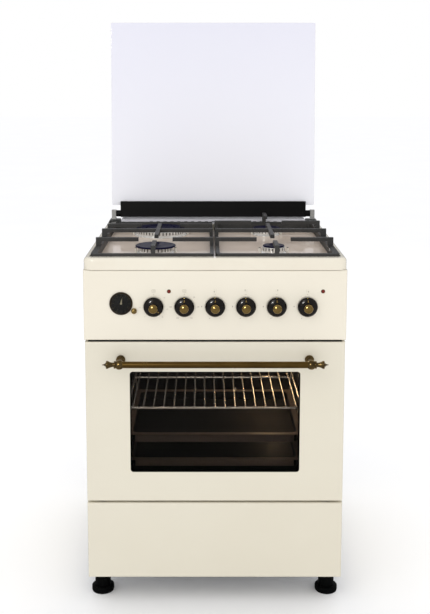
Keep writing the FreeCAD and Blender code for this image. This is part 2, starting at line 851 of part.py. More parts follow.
def racks():
    """The wire rack and the two trays."""
    rest = level_height(2)
    rods_z = f"{rest} + rack_rod"
    side_x = "rack_half - rack_rod"
    rods = []
    for side in (-1, 1):
        rods.append(rod(f"rack_side_{side + 1}", "rack_rod", "rack_length", f"{side} * ({side_x})",
                        "rack_front", rods_z, "back"))
    rears = ("rack_rod", "rack_middle_rod", "rack_length - rack_rod")
    for place, y in enumerate(rears):
        rods.append(rod(f"rack_cross_{place}", "rack_rod", f"2 * ({side_x})", f"-({side_x})",
                        f"rack_front + {y}", rods_z, "right"))
    for place in range(-8, 9):
        rods.append(rod(f"rack_wire_{place + 8}", "rack_wire", "rack_length - 2 * rack_rod",
                        f"{place} * rack_wire_pitch", "rack_front + rack_rod",
                        f"{rods_z} + rack_rod", "back"))
    node("wire_rack", joined("rack_joined", rods))
    tray("baking_tray", level_height(1), "tray_depth")
    tray("deep_tray", level_height(0), "deep_tray_depth")


def tray(name, rest, depth):
    """An enamelled tray that hangs by its rim on the guides."""
    x = ("-rack_half", "rack_half")
    y = ("rack_front", "rack_front + rack_length")
    rim = rounded_box(f"{name}_rim", x, y, (rest, f"{rest} + tray_sheet"), "tray_round / 2")
    wall_x = ("tray_rim - rack_half", "rack_half - tray_rim")
    wall_y = ("rack_front + tray_rim", "rack_front + rack_length - tray_rim")
    pan = rounded_box(f"{name}_pan", wall_x, wall_y, (f"{rest} - {depth}", f"{rest} + tray_sheet / 2"),
                      "tray_round")
    inner_x = (f"{wall_x[0]} + tray_sheet", f"{wall_x[1]} - tray_sheet")
    inner_y = (f"{wall_y[0]} + tray_sheet", f"{wall_y[1]} - tray_sheet")
    space = rounded_box(f"{name}_space", inner_x, inner_y,
                        (f"{rest} - {depth} + tray_sheet", f"{rest} + 2 * tray_sheet"),
                        "tray_round - tray_sheet")
    node(name, cut(f"{name}_cut", joined(f"{name}_joined", [rim, pan]), [space]))


# ---------------------------------------------------------------- door
def door():
    """The door's shells, glasses and hinges."""
    panel = pressed_front("door", "face_half", ("door_bottom", "door_top"),
                          "door_thickness - enamel_sheet", "enamel_sheet")
    hole_x = ("-window_width / 2", "window_width / 2")
    hole_z = ("window_bottom", "window_bottom + window_height")
    window = rounded_box("door_window", hole_x, ("front - 1", "front + enamel_sheet + 1"), hole_z,
                         "window_round", "y")
    node("door_outer_panel", cut("door_panel_cut", panel, [window] + claw_slots("door_panel_slots")))
    liner = box("liner_plate", ("-face_half", "face_half"), ("liner_front", "door_back"),
                ("door_bottom", "door_top"))
    hole = rounded_box("liner_window", hole_x, ("liner_front - 1", "door_back + 1"), hole_z,
                       "window_round", "y")
    node("door_liner", cut("liner_cut", liner, [hole] + claw_slots("liner_slots")))
    pane_x = ("-window_width / 2 - glass_lap", "window_width / 2 + glass_lap")
    pane_z = ("window_bottom - glass_lap", "window_bottom + window_height + glass_lap")
    node("door_outer_glass", box("outer_glass", pane_x, (
        "front + enamel_sheet", "front + enamel_sheet + glass_thickness"), pane_z))
    node("door_inner_glass", box("inner_glass", pane_x, (
        "liner_front - glass_thickness", "liner_front"), pane_z))
    node("door_hinge_arms", group("hinge_arm_group", [hinge_arm(-1), hinge_arm(1)]))
    node("door_hinge_receivers", group("receiver_group", [receiver(-1), receiver(1)]))


def claw_x(side, spare="0"):
    """The hinge claw's width on one side, with spare room on both sides."""
    low, high = f"hinge_offset - claw_width / 2 - {spare}", f"hinge_offset + claw_width / 2 + {spare}"
    return (low, high) if side > 0 else (f"-({high})", f"-({low})")


def claw_slots(name):
    """Slots in the door's lower edge that the hinge claws pass through as it opens."""
    return [box(f"{name}_{side + 1}", claw_x(side, "claw_clearance"),
                ("hinge_y - claw_radius - claw_clearance", "door_back + 1"),
                ("door_bottom - 1", "hinge_z + claw_radius + claw_clearance")) for side in (-1, 1)]


def hinge_arm(side):
    """The hinge block in the door, with the pin that turns in the claw."""
    name = "left_arm" if side < 0 else "right_arm"
    outer = "(hinge_offset - claw_width / 2 - claw_clearance / 2)"
    inner = f"({outer} - hinge_block_width)"
    x = (inner, outer) if side > 0 else (f"-{outer}", f"-{inner}")
    block = box(f"{name}_block", x, ("front + enamel_sheet", "liner_front"),
                ("door_bottom + enamel_sheet", "door_bottom + enamel_sheet + hinge_block_height"))
    pin = rod(f"{name}_pin", "hinge_pin", "claw_width + claw_clearance / 2 + hinge_block_width / 2",
              f"{side} * ({outer} - hinge_block_width / 2)", "hinge_y", "hinge_z",
              "right" if side > 0 else "left")
    return joined(name, [block, pin])


def receiver(side):
    """The hinge receiver on the shelf, with its claw reaching forward to the pin."""
    name = "left_receiver" if side < 0 else "right_receiver"
    x = claw_x(side)
    back = "inside_front + receiver_depth"
    block = box(f"{name}_block", x, ("inside_front", back), ("shelf_top", "hinge_z + claw_radius"))
    claw = box(f"{name}_claw", x, ("hinge_y", back),
               ("hinge_z - claw_radius", "hinge_z + claw_radius"))
    eye = rod(f"{name}_eye", "claw_radius", "claw_width", x[0], "hinge_y", "hinge_z", "right")
    bore = rod(f"{name}_bore", "hinge_pin + running_gap", "claw_width + 2", f"{x[0]} - 1", "hinge_y",
               "hinge_z", "right")
    return cut(name, joined(f"{name}_joined", [block, claw, eye]), [bore])


def handle():
    """The bar and its two turned ends, each with a ball, a finial and a bracket."""
    node("handle_bar", rod("bar", "handle_bar", "2 * handle_bar_half", "-handle_bar_half", "handle_y",
                           "handle_line", "right"))
    ends = []
    for side in (-1, 1):
        name = "left_end" if side < 0 else "right_end"
        towards = "left" if side < 0 else "right"
        finial = turned(f"{name}_finial", [
            (0, "-ball_flat"), ("handle_bar", "-ball_flat"), ("handle_ball", 0, "arc"),
            ("handle_bar", "ball_flat"), ("finial_ring", "ball_flat"), ("finial_ring", "ring_end"),
            ("finial_waist", "ring_end"), ("finial_waist", "waist_end"),
            ("(2 * finial_waist + finial_flare) / 3", "(waist_end + flare_end) / 2", "arc"),
            ("finial_flare", "flare_end"), ("finial_flare", "edge_end"),
            ("finial_flare / 3", "edge_end + finial_point_length / 3", "arc"),
            ("dome_flat", "edge_end + finial_point_length"), (0, "edge_end + finial_point_length")],
            f"{side} * handle_span / 2", "handle_y", "handle_line", towards)
        taper = "handle_standoff - handle_foot_length"
        bracket = turned(f"{name}_bracket", [
            (0, 0), ("handle_neck", 0), ("handle_neck", f"{taper} - handle_foot_taper"),
            ("handle_foot", taper), ("handle_foot", "handle_standoff"), (0, "handle_standoff")],
            f"{side} * handle_span / 2", "handle_y", "handle_line", "back")
        ends.append(joined(name, [finial, bracket]))
    node("handle_ends", group("ends_group", ends))


# ---------------------------------------------------------------- drawer
def drawer():
    """The drawer's face, its box and the two runners that carry it."""
    node("drawer_front", pressed_front("drawer", "face_half", ("drawer_bottom", "drawer_top"),
                                       "drawer_face", "steel_sheet"))
    half = "drawer_half"
    low = "drawer_bottom + drawer_box_rise"
    top = f"{low} + drawer_box_height"
    y = ("front + drawer_face", "front + drawer_face + drawer_box_depth")
    skin = "drawer_sheet"
    outer = box("drawer_outside", (f"-({half})", half), y, (low, top))
    inner = box("drawer_inside", (f"{skin} - {half}", f"{half} - {skin}"),
                (f"{y[0]} + {skin}", f"{y[1]} - {skin}"), (f"{low} + {skin}", f"{top} + 1"))
    lips = [box(f"drawer_lip_{side + 1}",
                (half, f"{half} + drawer_lip") if side > 0 else (f"-({half} + drawer_lip)", f"-({half})"),
                y, (f"{top} - {skin}", top)) for side in (-1, 1)]
    backing = box("drawer_backing", ("steel_sheet - face_half", "face_half - steel_sheet"),
                  (f"{y[0]} - steel_sheet", y[0]),
                  ("drawer_bottom + steel_sheet", "drawer_top - steel_sheet"))
    tub = cut("drawer_tub", outer, [inner])
    node("drawer_box", joined("drawer_joined", [tub, backing] + lips))
    runners = []
    for side in (-1, 1):
        name = "left_runner" if side < 0 else "right_runner"
        seat = f"{top} - {skin} - seat_gap"
        inside = "half_width - steel_sheet"

        def across(low_x, high_x):
            return (low_x, high_x) if side > 0 else (f"-({high_x})", f"-({low_x})")

        runner_y = ("inside_front + runner_front_space", "inside_front + runner_front_space + runner_length")
        ledge = box(f"{name}_ledge", across(f"{half} + seat_gap", inside), runner_y,
                    (f"{seat} - steel_sheet", seat))
        web = box(f"{name}_web", across(f"{inside} - steel_sheet", inside), runner_y,
                  (f"{seat} - runner_height", seat))
        runners.append(joined(name, [ledge, web]))
    node("drawer_runners", group("runner_group", runners))


# ---------------------------------------------------------------- hob
BURNERS = {
    "front_left": (-1, "front_burner", "rapid"),
    "rear_left": (-1, "rear_burner", "wok"),
    "rear_right": (1, "rear_burner", "medium"),
    "front_right": (1, "front_burner", "small"),
}


def hob_top():
    """The pressed hob: a rim round a recess, hollow below, with a hole for each burner."""
    skin = "enamel_sheet"
    outer = rounded_box("hob_outside", ("-half_width", "half_width"), ("front", "rear"),
                        ("hob_bottom", "hob_rim"), "hob_corner", "z", "hob_edge")
    under = rounded_box("hob_underside", (f"{skin} - half_width", f"half_width - {skin}"),
                        (f"front + {skin}", f"rear - {skin}"), ("hob_bottom - 1", f"hob_rim - {skin}"),
                        f"hob_corner - {skin}", "z", f"hob_edge - {skin}")
    reach = "half_width - recess_side"
    recess_y = ("front + recess_front", "recess_end")
    recess = rounded_box("hob_recess", (f"-({reach})", reach), recess_y, ("hob_floor", "hob_rim + 1"),
                         "recess_round")
    jacket = rounded_box("hob_jacket", (f"-({reach} + {skin})", f"{reach} + {skin}"),
                         (f"{recess_y[0]} - {skin}", f"{recess_y[1]} + {skin}"),
                         (f"hob_floor - {skin}", "hob_rim + 1"), f"recess_round + {skin}")
    hollow = cut("hob_hollow", under, [jacket])
    shell = cut("hob_shell", outer, [recess])
    pressed = cut("hob_pressed", shell, [hollow])
    holes = []
    for name, (side, depth, size) in BURNERS.items():
        holes.append(rod(f"{name}_hole", f"{size}_crown * cup_share + seat_gap", "3 * enamel_sheet",
                         f"{side} * burner_offset", f"front + {depth}", "hob_floor - 2 * enamel_sheet"))
    node("hob_top", cut("hob_cut", pressed, holes))


def burners():
    """Crowns, caps and igniters of the four burners."""
    crowns = []
    igniters = []
    for name, (side, depth, size) in BURNERS.items():
        x, y = f"{side} * burner_offset", f"front + {depth}"
        crown, cap = f"{size}_crown", f"{size}_cap"
        crowns.append(turned(f"{name}_crown", [
            (0, "-enamel_sheet"), (f"{crown} * cup_share", "-enamel_sheet"), (f"{crown} * cup_share", 0),
            (f"{crown} + crown_flange", 0), (f"{crown} + crown_flange", "crown_flange_height"),
            (crown, "crown_flange_height"), (crown, "crown_height"), (0, "crown_height")],
            x, y, "hob_floor"))
        node(f"burner_cap_{name}", turned(f"{name}_cap", [
            (0, 0), (cap, 0), (cap, "cap_height / 2"),
            (f"{cap} - cap_height * 0.3", "cap_height * 0.8", "arc"),
            (f"{cap} - cap_height", "cap_height"), (0, "cap_height")],
            x, y, "crown_top + seat_gap"))
        for place, way in enumerate((-1, 1)):
            igniters.append(rod(
                f"{name}_igniter_{place}", "igniter_radius", "igniter_height",
                f"{x} + {way} * ({crown} + crown_flange + igniter_radius + seat_gap)", y, "hob_floor"))
    node("burner_crowns", group("crown_group", crowns))
    node("igniters", group("igniter_group", igniters))


def arm(name, side, x, y, top, height="finger_height"):
    """A horizontal stretch of a pan support's finger, mirrored for the left support."""
    span = x if side > 0 else (f"-({x[1]})", f"-({x[0]})")
    return box(name, span, y, (f"{top} - ({height})", top))


def pan_support(side, name, rear_top, rear_reach, rear_finger):
    """A cast frame with fingers towards each burner."""
    ring_x = ("support_inner", "support_outer")
    hole_x = ("support_inner + inner_bar", "support_outer - outer_bar")
    if side < 0:
        ring_x = tuple(f"-({edge})" for edge in reversed(ring_x))
        hole_x = tuple(f"-({edge})" for edge in reversed(hole_x))
    ring = rounded_box(f"{name}_ring", ring_x, ("support_front", "support_back"),
                       ("support_low", "frame_top"), "support_round")
    hole = rounded_box(f"{name}_hole", hole_x, ("support_front + front_bar", "support_back - front_bar"),
                       ("support_low - 1", "frame_top + 1"), "frame_hole_round")
    pieces = [cut(f"{name}_frame", ring, [hole])]
    half = "finger_width / 2"
    rows = {"front": ("front + front_burner", "hob_rim + finger_top", "finger_reach"),
            "rear": ("front + rear_burner", rear_top, rear_reach)}
    for row, (y, top, reach) in rows.items():
        depth = (f"{y} - {half}", f"{y} + {half}")
        tall = f"{top} - frame_top + 1"
        pieces += [
            arm(f"{name}_{row}_outer", side, (f"burner_offset + {reach}", "support_outer"), depth, top),
            arm(f"{name}_{row}_inner", side, ("support_inner", f"burner_offset - {reach}"), depth, top),
            arm(f"{name}_{row}_outer_leg", side, ("support_outer - outer_bar", "support_outer"), depth,
                top, tall),
            arm(f"{name}_{row}_inner_leg", side, ("support_inner", "support_inner + inner_bar"), depth,
                top, tall)]
    top = "hob_rim + finger_top"
    tall = f"{top} - frame_top + 1"
    middle = (f"middle_bar - {half}", f"middle_bar + {half}")
    lane = (f"burner_offset - {half}", f"burner_offset + {half}")
    pieces += [
        arm(f"{name}_middle", side, ("support_inner", "support_outer"), middle, top),
        arm(f"{name}_middle_outer_leg", side, ("support_outer - outer_bar", "support_outer"), middle,
            top, tall),
        arm(f"{name}_middle_inner_leg", side, ("support_inner", "support_inner + inner_bar"), middle,
            top, tall),
        arm(f"{name}_lane", side, lane, ("front + front_burner + finger_reach",
                                        "front + rear_burner - finger_reach"), top),
        arm(f"{name}_front_finger", side, lane, ("support_front", "front + front_burner - finger_reach"),
            top),
        arm(f"{name}_front_leg", side, lane, ("support_front", "support_front + front_bar"), top, tall)]
    if rear_finger:
        high = "hob_rim + rear_finger_top"
        pieces += [
            arm(f"{name}_rear_finger", side, lane, ("front + rear_burner + finger_reach", "support_back"),
                high),
            arm(f"{name}_rear_leg", side, lane, ("support_back - front_bar", "support_back"), high,
                f"{high} - frame_top + 1")]
    node(name, joined(f"{name}_joined", pieces))


def vent_strip():
    """A raised channel behind the pan supports with a row of slots in its front."""
    y = ("front + vent_front", "rear - vent_back_space")
    outer = box("vent_outside", ("-vent_half_width", "vent_half_width"), y,
                ("hob_rim", "hob_rim + vent_height"))
    inner = box("vent_inside", ("steel_sheet - vent_half_width", "vent_half_width - steel_sheet"),
                (f"{y[0]} + steel_sheet", f"{y[1]} - steel_sheet"),
                ("hob_rim - 1", "hob_rim + vent_height - steel_sheet"))
    slots = []
    for place in range(int(number("slot_count"))):
        middle = f"({place} - (slot_count - 1) / 2) * slot_pitch"
        slots.append(box(f"vent_slot_{place}", (f"{middle} - slot_width / 2", f"{middle} + slot_width / 2"),
                         (f"{y[0]} - 1", f"{y[0]} + steel_sheet + 1"),
                         ("hob_rim + slot_rise", "hob_rim + slot_rise + slot_height")))
    node("rear_vent_strip", cut("vent_cut", outer, [inner] + slots))


# ---------------------------------------------------------------- lid
def on_hinge(item):
    """Places a lid piece, drawn upright about the lid's axis, at its lean."""
    return put(item, 0, "lid_y", "lid_z", ((-1, 0, 0), "lid_lean"))


def lid():
    """The glass, its rail with the hinge pins, and the two posts."""
    behind = ("lid_glass_behind", "lid_glass_behind + lid_glass")
    pane = rounded_box("lid_pane", ("-lid_half_width", "lid_half_width"), behind,
                       ("lid_glass_low", "lid_length"), "lid_round", "y")
    node("lid_glass", on_hinge(group("lid_pane_placed", [pane])))
    bar = box("rail_bar", ("-rail_half_width", "rail_half_width"),
              ("-rail_front", "lid_glass_behind + lid_glass + rail_lip"), ("-rail_low", "rail_high"))
    groove = box("rail_groove", ("-rail_half_width - 1", "rail_half_width + 1"), behind,
                 ("lid_glass_low", "rail_high + 1"))
    pins = []
    for side in (-1, 1):
        towards = "left" if side < 0 else "right"
        start = f"{side} * (rail_half_width - 1)"
        pins.append(rod(f"rail_stub_{side + 1}", "stub_radius", "post_inner - seat_gap - rail_half_width + 1",
                        start, 0, 0, towards))
        pins.append(rod(f"rail_pin_{side + 1}", "lid_pin", "post_inner - rail_half_width + 1 + lid_pin_length",
                        start, 0, 0, towards))
    rail = joined("rail_joined", [cut("rail_cut", bar, [groove])] + pins)
    node("lid_rail", on_hinge(group("rail_placed", [rail])))
    node("lid_hinge_posts", group("post_group", [hinge_post(-1), hinge_post(1)]))


def hinge_post(side):
    """A post on a tapered foot, bored for the lid's pin."""
    name = "left_post" if side < 0 else "right_post"
    inner, outer = "post_foot_inner", "post_foot_inner + post_foot_width"
    foot = plate(f"{name}_foot", [
        (f"{side} * ({inner})", 0), (f"{side} * ({outer})", 0),
        (f"{side} * ({outer} - post_foot_slope)", "post_foot_height"),
        (f"{side} * ({inner} + post_foot_slope)", "post_foot_height")],
        "XZ_Plane", "post_foot_depth", 0, "lid_y + post_foot_depth / 2", "hob_rim")
    x = ("post_inner", "post_inner + post_width")
    if side < 0:
        x = tuple(f"-({edge})" for edge in reversed(x))
    post = box(f"{name}_post", x, ("lid_y - post_depth / 2", "lid_y + post_depth / 2"),
               ("hob_rim + post_foot_height - 1", "lid_z + post_over_axis"))
    bore = rod(f"{name}_bore", "lid_pin + running_gap", "lid_pin_length + 1", f"{side} * (post_inner - 0.5)",
               "lid_y", "lid_z", "left" if side < 0 else "right")
    return cut(name, joined(f"{name}_joined", [foot, post]), [bore])


# ---------------------------------------------------------------- controls
def knob_x(place):
    """X of a knob, counted from the left."""
    return f"first_knob + {place} * control_pitch"


def control_panel():
    """The panel with holes for the shafts, the timer and the lamps."""
    pan = pressed_front("panel", "half_width", ("panel_bottom", "panel_top"),
                        "door_thickness + seal_space + steel_sheet", "steel_sheet")
    spots = [(knob_x(place), "control_line", "spindle_hole") for place in range(6)]
    spots.append(("timer_offset", "timer_line", "dial_radius - timer_hole_margin"))
    spots.append(("crown_offset", "panel_bottom + crown_rise", "timer_crown_shaft + seat_gap"))
    for x in ("pilot_left", "pilot_right"):
        spots.append((x, "panel_bottom + pilot_rise", "lamp_lens + hole_margin"))
    holes = [rod(f"panel_hole_{place}", radius, "3 * steel_sheet", x, "front - steel_sheet", z, "back")
             for place, (x, z, radius) in enumerate(spots)]
    node("control_panel", cut("panel_cut", pan, holes))


def knobs():
    """Six knobs, the oven's two switches, the four taps and their sprung spindles."""
    switches = []
    taps = []
    shaft_tip = "knob_gap + knob_bore_depth - seat_gap"
    bore = "spindle + running_gap"
    for place in range(6):
        x = knob_x(place)
        node(f"knob_{place + 1}", turned(f"knob_body_{place}", [
            (bore, 0), ("knob_skirt", 0), ("knob_skirt", "knob_skirt_height"),
            ("knob_skirt * 0.72 + knob_ring * 0.28", "knob_ring_height * 0.5", "arc"),
            ("knob_ring", "knob_ring_height * 0.8"), ("knob_ring", "knob_ring_height"),
            ("knob_neck", "knob_ring_height + 1"), ("knob_dome", "knob_length - knob_dome * 0.55"),
            ("knob_dome * 0.62", "knob_length - knob_dome * 0.175", "arc"),
            ("dome_flat", "knob_length"), (0, "knob_length"),
            (0, "knob_bore_depth"), (bore, "knob_bore_depth")],
            x, "front - knob_gap", "control_line", "front"))
        if place < 2:
            case = rod(f"switch_case_{place}", "switch_radius", "switch_depth", x, "front + switch_front",
                       "control_line", "back")
            bush = rod(f"switch_bush_{place}", "spindle_collar", "switch_front - steel_sheet + 1", x,
                       "front + steel_sheet", "control_line", "back")
            shaft = rod(f"switch_shaft_{place}", "spindle", f"{shaft_tip} + switch_front + 1", x,
                        "front + switch_front + 1", "control_line", "front")
            switches.append(joined(f"switch_{place}", [case, bush, shaft]))
            continue
        block = box(f"tap_block_{place}", (f"{x} - tap_width / 2", f"{x} + tap_width / 2"),
                    ("front + tap_front", "tap_back"),
                    ("control_line - tap_height / 2", "tap_top"))
        well = rod(f"tap_well_{place}", bore, "tap_bore_depth + push_travel + 1", x, "front + tap_front - 1",
                   "control_line", "back")
        taps.append(cut(f"tap_{place}", block, [well]))
        stem = rod(f"spindle_stem_{place}", "spindle", f"{shaft_tip} + tap_front + tap_bore_depth - 1", x,
                   "front + tap_front + tap_bore_depth - 1", "control_line", "front")
        collar = rod(f"spindle_collar_{place}", "spindle_collar", "collar_back - steel_sheet - seat_gap", x,
                     "front + steel_sheet + seat_gap", "control_line", "back")
        node(f"tap_spindle_{place - 1}", joined(f"spindle_{place}", [stem, collar]))
    node("oven_switches", group("switch_group", switches))
    node("gas_taps", group("tap_group", taps))


def timer():
    """The analogue timer: case with its dial and arbor, two hands and the setting crown."""
    half = "timer_case_width / 2"
    case_x = (f"timer_offset - {half}", f"timer_offset + {half}")
    case_z = ("timer_line - timer_case_height / 2", "timer_line + timer_case_height / 2")
    case = box("timer_box", case_x, ("front + steel_sheet", "front + steel_sheet + timer_case_depth"), case_z)
    bezel = "dial_radius - dial_bezel"
    hole = "dial_radius - timer_hole_margin - hole_margin"
    stem = "steel_sheet + 1"
    arbor_tip = "dial_bezel_height - seat_gap"
    dial = turned("timer_dial", [
        (0, f"-({stem})"), (hole, f"-({stem})"), (hole, 0), ("dial_radius", 0),
        ("dial_radius", "dial_bezel_height - 1"), ("dial_radius - 1", "dial_bezel_height"),
        (bezel, "dial_bezel_height"), (bezel, "dial_face_height"), ("arbor", "dial_face_height"),
        ("arbor", arbor_tip), (0, arbor_tip)],
        "timer_offset", "front", "timer_line", "front")
    well = rod("crown_well", "timer_crown_shaft + running_gap", "timer_crown_shaft_length + 1",
               "crown_offset", "front", "panel_bottom + crown_rise", "back")
    node("timer_case", cut("timer_cut", joined("timer_joined", [case, dial]), [well]))
    lift = "dial_face_height + seat_gap"
    hand("hour_hand", lift, "hour_hand_length", "hour_hand_angle")
    hand("minute_hand", f"{lift} + hand_thickness + seat_gap", "minute_hand_length",
         "hour_hand_angle * 12")
    node("timer_crown", turned("crown_body", [
        (0, "-timer_crown_shaft_length"), ("timer_crown_shaft", "-timer_crown_shaft_length"),
        ("timer_crown_shaft", "seat_gap"),
        ("timer_crown", "seat_gap"), ("timer_crown", "timer_crown_length * 0.6"),
        ("timer_crown * 0.75", "timer_crown_length * 0.83", "arc"), ("dome_flat", "timer_crown_length"),
        (0, "timer_crown_length")],
        "crown_offset", "front", "panel_bottom + crown_rise", "front"))
    lamps = [turned(f"pilot_{place}", [
        (0, "-pilot_depth"), ("lamp_lens", "-pilot_depth"),
        ("lamp_lens", "-steel_sheet - pilot_flange_length"),
        ("pilot_flange", "-steel_sheet - pilot_flange_length"), ("pilot_flange", "-steel_sheet"),
        ("lamp_lens", "-steel_sheet"), ("lamp_lens", "lamp_lens_height / 2"),
        ("lamp_lens * 0.7", "lamp_lens_height * 0.86", "arc"), ("dome_flat", "lamp_lens_height"),
        (0, "lamp_lens_height")],
        x, "front", "panel_bottom + pilot_rise", "front")
        for place, x in enumerate(("pilot_left", "pilot_right"))]
    node("pilot_lamps", group("pilot_group", lamps))


def hand(name, lift, length, angle):
    """A clock hand: a flat pointer on a hub bored for the arbor, turned clockwise from twelve."""
    pointer = plate(f"{name}_pointer", [
        ("-hand_width / 2", 0), ("hand_width / 2", 0), (0, length)], "XZ_Plane", "hand_thickness")
    hub = rod(f"{name}_hub", "hand_hub", "hand_thickness", towards="front")
    bore = rod(f"{name}_bore", "arbor + running_gap", "hand_thickness + 2", y=1, towards="front")
    whole = cut(f"{name}_cut", joined(f"{name}_joined", [pointer, hub]), [bore])
    placed = group(f"{name}_placed", [whole])
    node(name, put(placed, "timer_offset", f"front - ({lift})", "timer_line", ((0, 1, 0), angle)))


# ---------------------------------------------------------------- gas supply
def gas_pipework():
    """Manifold behind the taps, feed pipe with the rear inlet, and each burner's pipe and cup."""
    low, high = "control_line - manifold / 2", "control_line + manifold / 2"
    right = "half_width - casing_flange"
    tube = box("manifold_outside", ("manifold_left", right), ("tap_back", "tap_back + manifold"),
               (low, high))
    bore = box("manifold_inside", ("manifold_left + manifold_wall", f"{right} - manifold_wall"),
               ("tap_back + manifold_wall", "tap_back + manifold - manifold_wall"),
               (f"{low} + manifold_wall", f"{high} - manifold_wall"))
    manifold = cut("manifold_tube", tube, [bore])
    feed = rod("feed_run", "feed_pipe", "back_rear + seat_gap - tap_back - manifold + 2", "feed_offset",
               "tap_back + manifold - 1", "control_line", "back")
    inlet = rod("gas_inlet", "inlet_radius", "inlet_length", "feed_offset", "back_rear + seat_gap",
                "control_line", "back")
    supply = joined("gas_supply", [manifold, feed, inlet])
    pieces = [supply]
    for place, (name, (side, depth, size)) in enumerate(BURNERS.items(), 2):
        x, y = f"{side} * burner_offset", f"front + {depth}"
        start_y = "front + tap_front + tap_depth / 2"
        level = "pipe_z - pipe_crossing_drop" if name == "rear_right" else "pipe_z"
        pieces.append(bent_tube(f"{name}_pipe", [
            (knob_x(place), start_y, "tap_top"), (knob_x(place), start_y, level),
            (x, y, level), (x, y, "cup_bottom")], "pipe_bend", "burner_pipe"))
        pieces.append(rod(f"{name}_cup", f"{size}_crown * cup_share + cup_wall", "cup_height", x, y, "cup_bottom"))
    node("gas_pipework", group("pipework_group", pieces))


# ---------------------------------------------------------------- build, test and write
casing()
base()
control_panel()
hob_top()
vent_strip()
oven()
racks()
door()
handle()
drawer()
burners()
pan_support(-1, "pan_support_left", "hob_rim + wok_finger_top", "wok_finger_reach", False)
pan_support(1, "pan_support_right", "hob_rim + finger_top", "finger_reach", True)
lid()
knobs()
timer()
gas_pipework()
doc.recompute()

failed = [o.Name for o in doc.Objects if "Invalid" in o.State or "Error" in o.State]
broken = [o.Label for o in nodes if o.Shape.isNull() or not o.Shape.isValid() or not o.Shape.Solids]
if failed or broken:
    raise SystemExit(f"failed objects: {failed}; broken sub-parts: {broken}")
os.makedirs("parts", exist_ok=True)
for item in nodes:
    item.Shape.exportStep(f"parts/{item.Label}.step")
print(f"{len(nodes)} sub-parts written")
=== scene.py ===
import math
import bmesh
import bpy
from mathutils import Matrix, Vector


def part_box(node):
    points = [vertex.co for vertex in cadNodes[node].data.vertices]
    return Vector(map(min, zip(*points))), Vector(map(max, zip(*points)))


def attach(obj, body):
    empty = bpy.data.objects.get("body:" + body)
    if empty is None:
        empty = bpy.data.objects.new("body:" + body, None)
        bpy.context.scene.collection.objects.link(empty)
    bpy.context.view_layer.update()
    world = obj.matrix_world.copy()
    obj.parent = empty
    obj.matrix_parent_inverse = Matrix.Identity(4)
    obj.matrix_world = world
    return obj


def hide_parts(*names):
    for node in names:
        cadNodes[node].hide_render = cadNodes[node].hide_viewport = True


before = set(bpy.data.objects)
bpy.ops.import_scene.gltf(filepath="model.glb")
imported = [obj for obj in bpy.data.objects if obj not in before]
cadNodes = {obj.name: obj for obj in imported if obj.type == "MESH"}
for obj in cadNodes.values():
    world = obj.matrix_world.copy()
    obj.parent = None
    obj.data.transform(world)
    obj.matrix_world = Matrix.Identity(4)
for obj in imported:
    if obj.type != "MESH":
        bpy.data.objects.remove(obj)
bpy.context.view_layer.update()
scene = bpy.context.scene
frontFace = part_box("door_outer_panel")[0].y  # the door's face is depth 0
print("frame: the packed cooker has", len(cadNodes), "solids")


# x across, depth from the door's face and height over the floor, in millimetres
def spot(x, depth, height):
    return Vector((x / 1000, frontFace + depth / 1000, height / 1000))


# a screen colour from 0 to 255 as the linear colour that a shader takes
def paint(red, green, blue):
    def linear(value):
        value = value / 255
        return value / 12.92 if value <= 0.04045 else ((value + 0.055) / 1.055) ** 2.4
    return (linear(red), linear(green), linear(blue), 1.0)


# a shader node, with a value or a link for each socket named
def addNode(tree, kind, links=None, **settings):
    node = tree.nodes.new("ShaderNode" + kind)
    for setting, value in settings.items():
        setattr(node, setting, value)
    for socket, source in (links or {}).items():
        if isinstance(source, bpy.types.NodeSocket):
            tree.links.new(source, node.inputs[socket])
        else:
            node.inputs[socket].default_value = source
    return node


# camera, light and floor
photoCamera = {"place": (-0.0231, -2.3851, 1.2294), "pitch": 82.8, "lens": 55.65, "shift": (0.0163, -0.1739)}
cameraData = bpy.data.cameras.new("photoCamera")
cameraData.lens = photoCamera["lens"]
cameraData.sensor_width = 36
cameraData.shift_x, cameraData.shift_y = photoCamera["shift"]
cameraData.clip_end = 200
camera = bpy.data.objects.new("photoCamera", cameraData)
camera.location = photoCamera["place"]
camera.rotation_euler = (math.radians(photoCamera["pitch"]), 0, 0)
scene.collection.objects.link(camera)
scene.camera = camera

studio = {
    "backdrop": (1.0, 1.0, 1.0, 1.0), "backdropShown": 1.0, "ambient": (0.994, 0.996, 1.0, 1.0),
    "ambientPower": 1.02, "mirroredPower": 0.34, "floor": paint(253, 253, 254),
    "floorMirrored": (0.34, 0.34, 0.345, 1.0),
    "softboxes": {
        "key": {"place": (-1.5, -2.5, 3.1), "size": (1.8, 1.4), "power": 9, "tint": (1.0, 0.985, 0.96)},
        "fill": {"place": (0.5, -3.8, 1.3), "size": (2.6, 1.8), "power": 15, "tint": (1.0, 0.99, 0.97),
                 "glossy": False},
        "glint": {"place": (-1.3, -3.0, 1.95), "size": (0.5, 0.4), "power": 42, "tint": (1.0, 0.99, 0.96),
                  "diffuse": False},
        "back": {"place": (0.3, 2.4, 2.9), "size": (2.6, 1.4), "power": 8, "tint": (0.95, 0.97, 1.0)},
    },
    "aim": (0.0, -0.05, 0.65),
    "bulbs": {
        "ovenLamp": {"place": spot(150, 418, 545), "power": 0.42, "radius": 0.016, "tint": (1.0, 0.72, 0.42)},
        "ovenGlow": {"place": spot(170, 436, 352), "power": 0.22, "radius": 0.006, "tint": (1.0, 0.76, 0.48)},
    },
    "ovenFill": {"place": spot(-20, 62, 596), "size": (0.40, 0.03), "power": 0.42, "tint": (1.0, 0.96, 0.92),
                 "aim": spot(-20, 330, 440)},
}
scene.view_settings.view_transform = "Standard"

world = bpy.data.worlds.new("studioWorld")
world.use_nodes = True
scene.world = world
worldTree = world.node_tree
worldTree.nodes.clear()
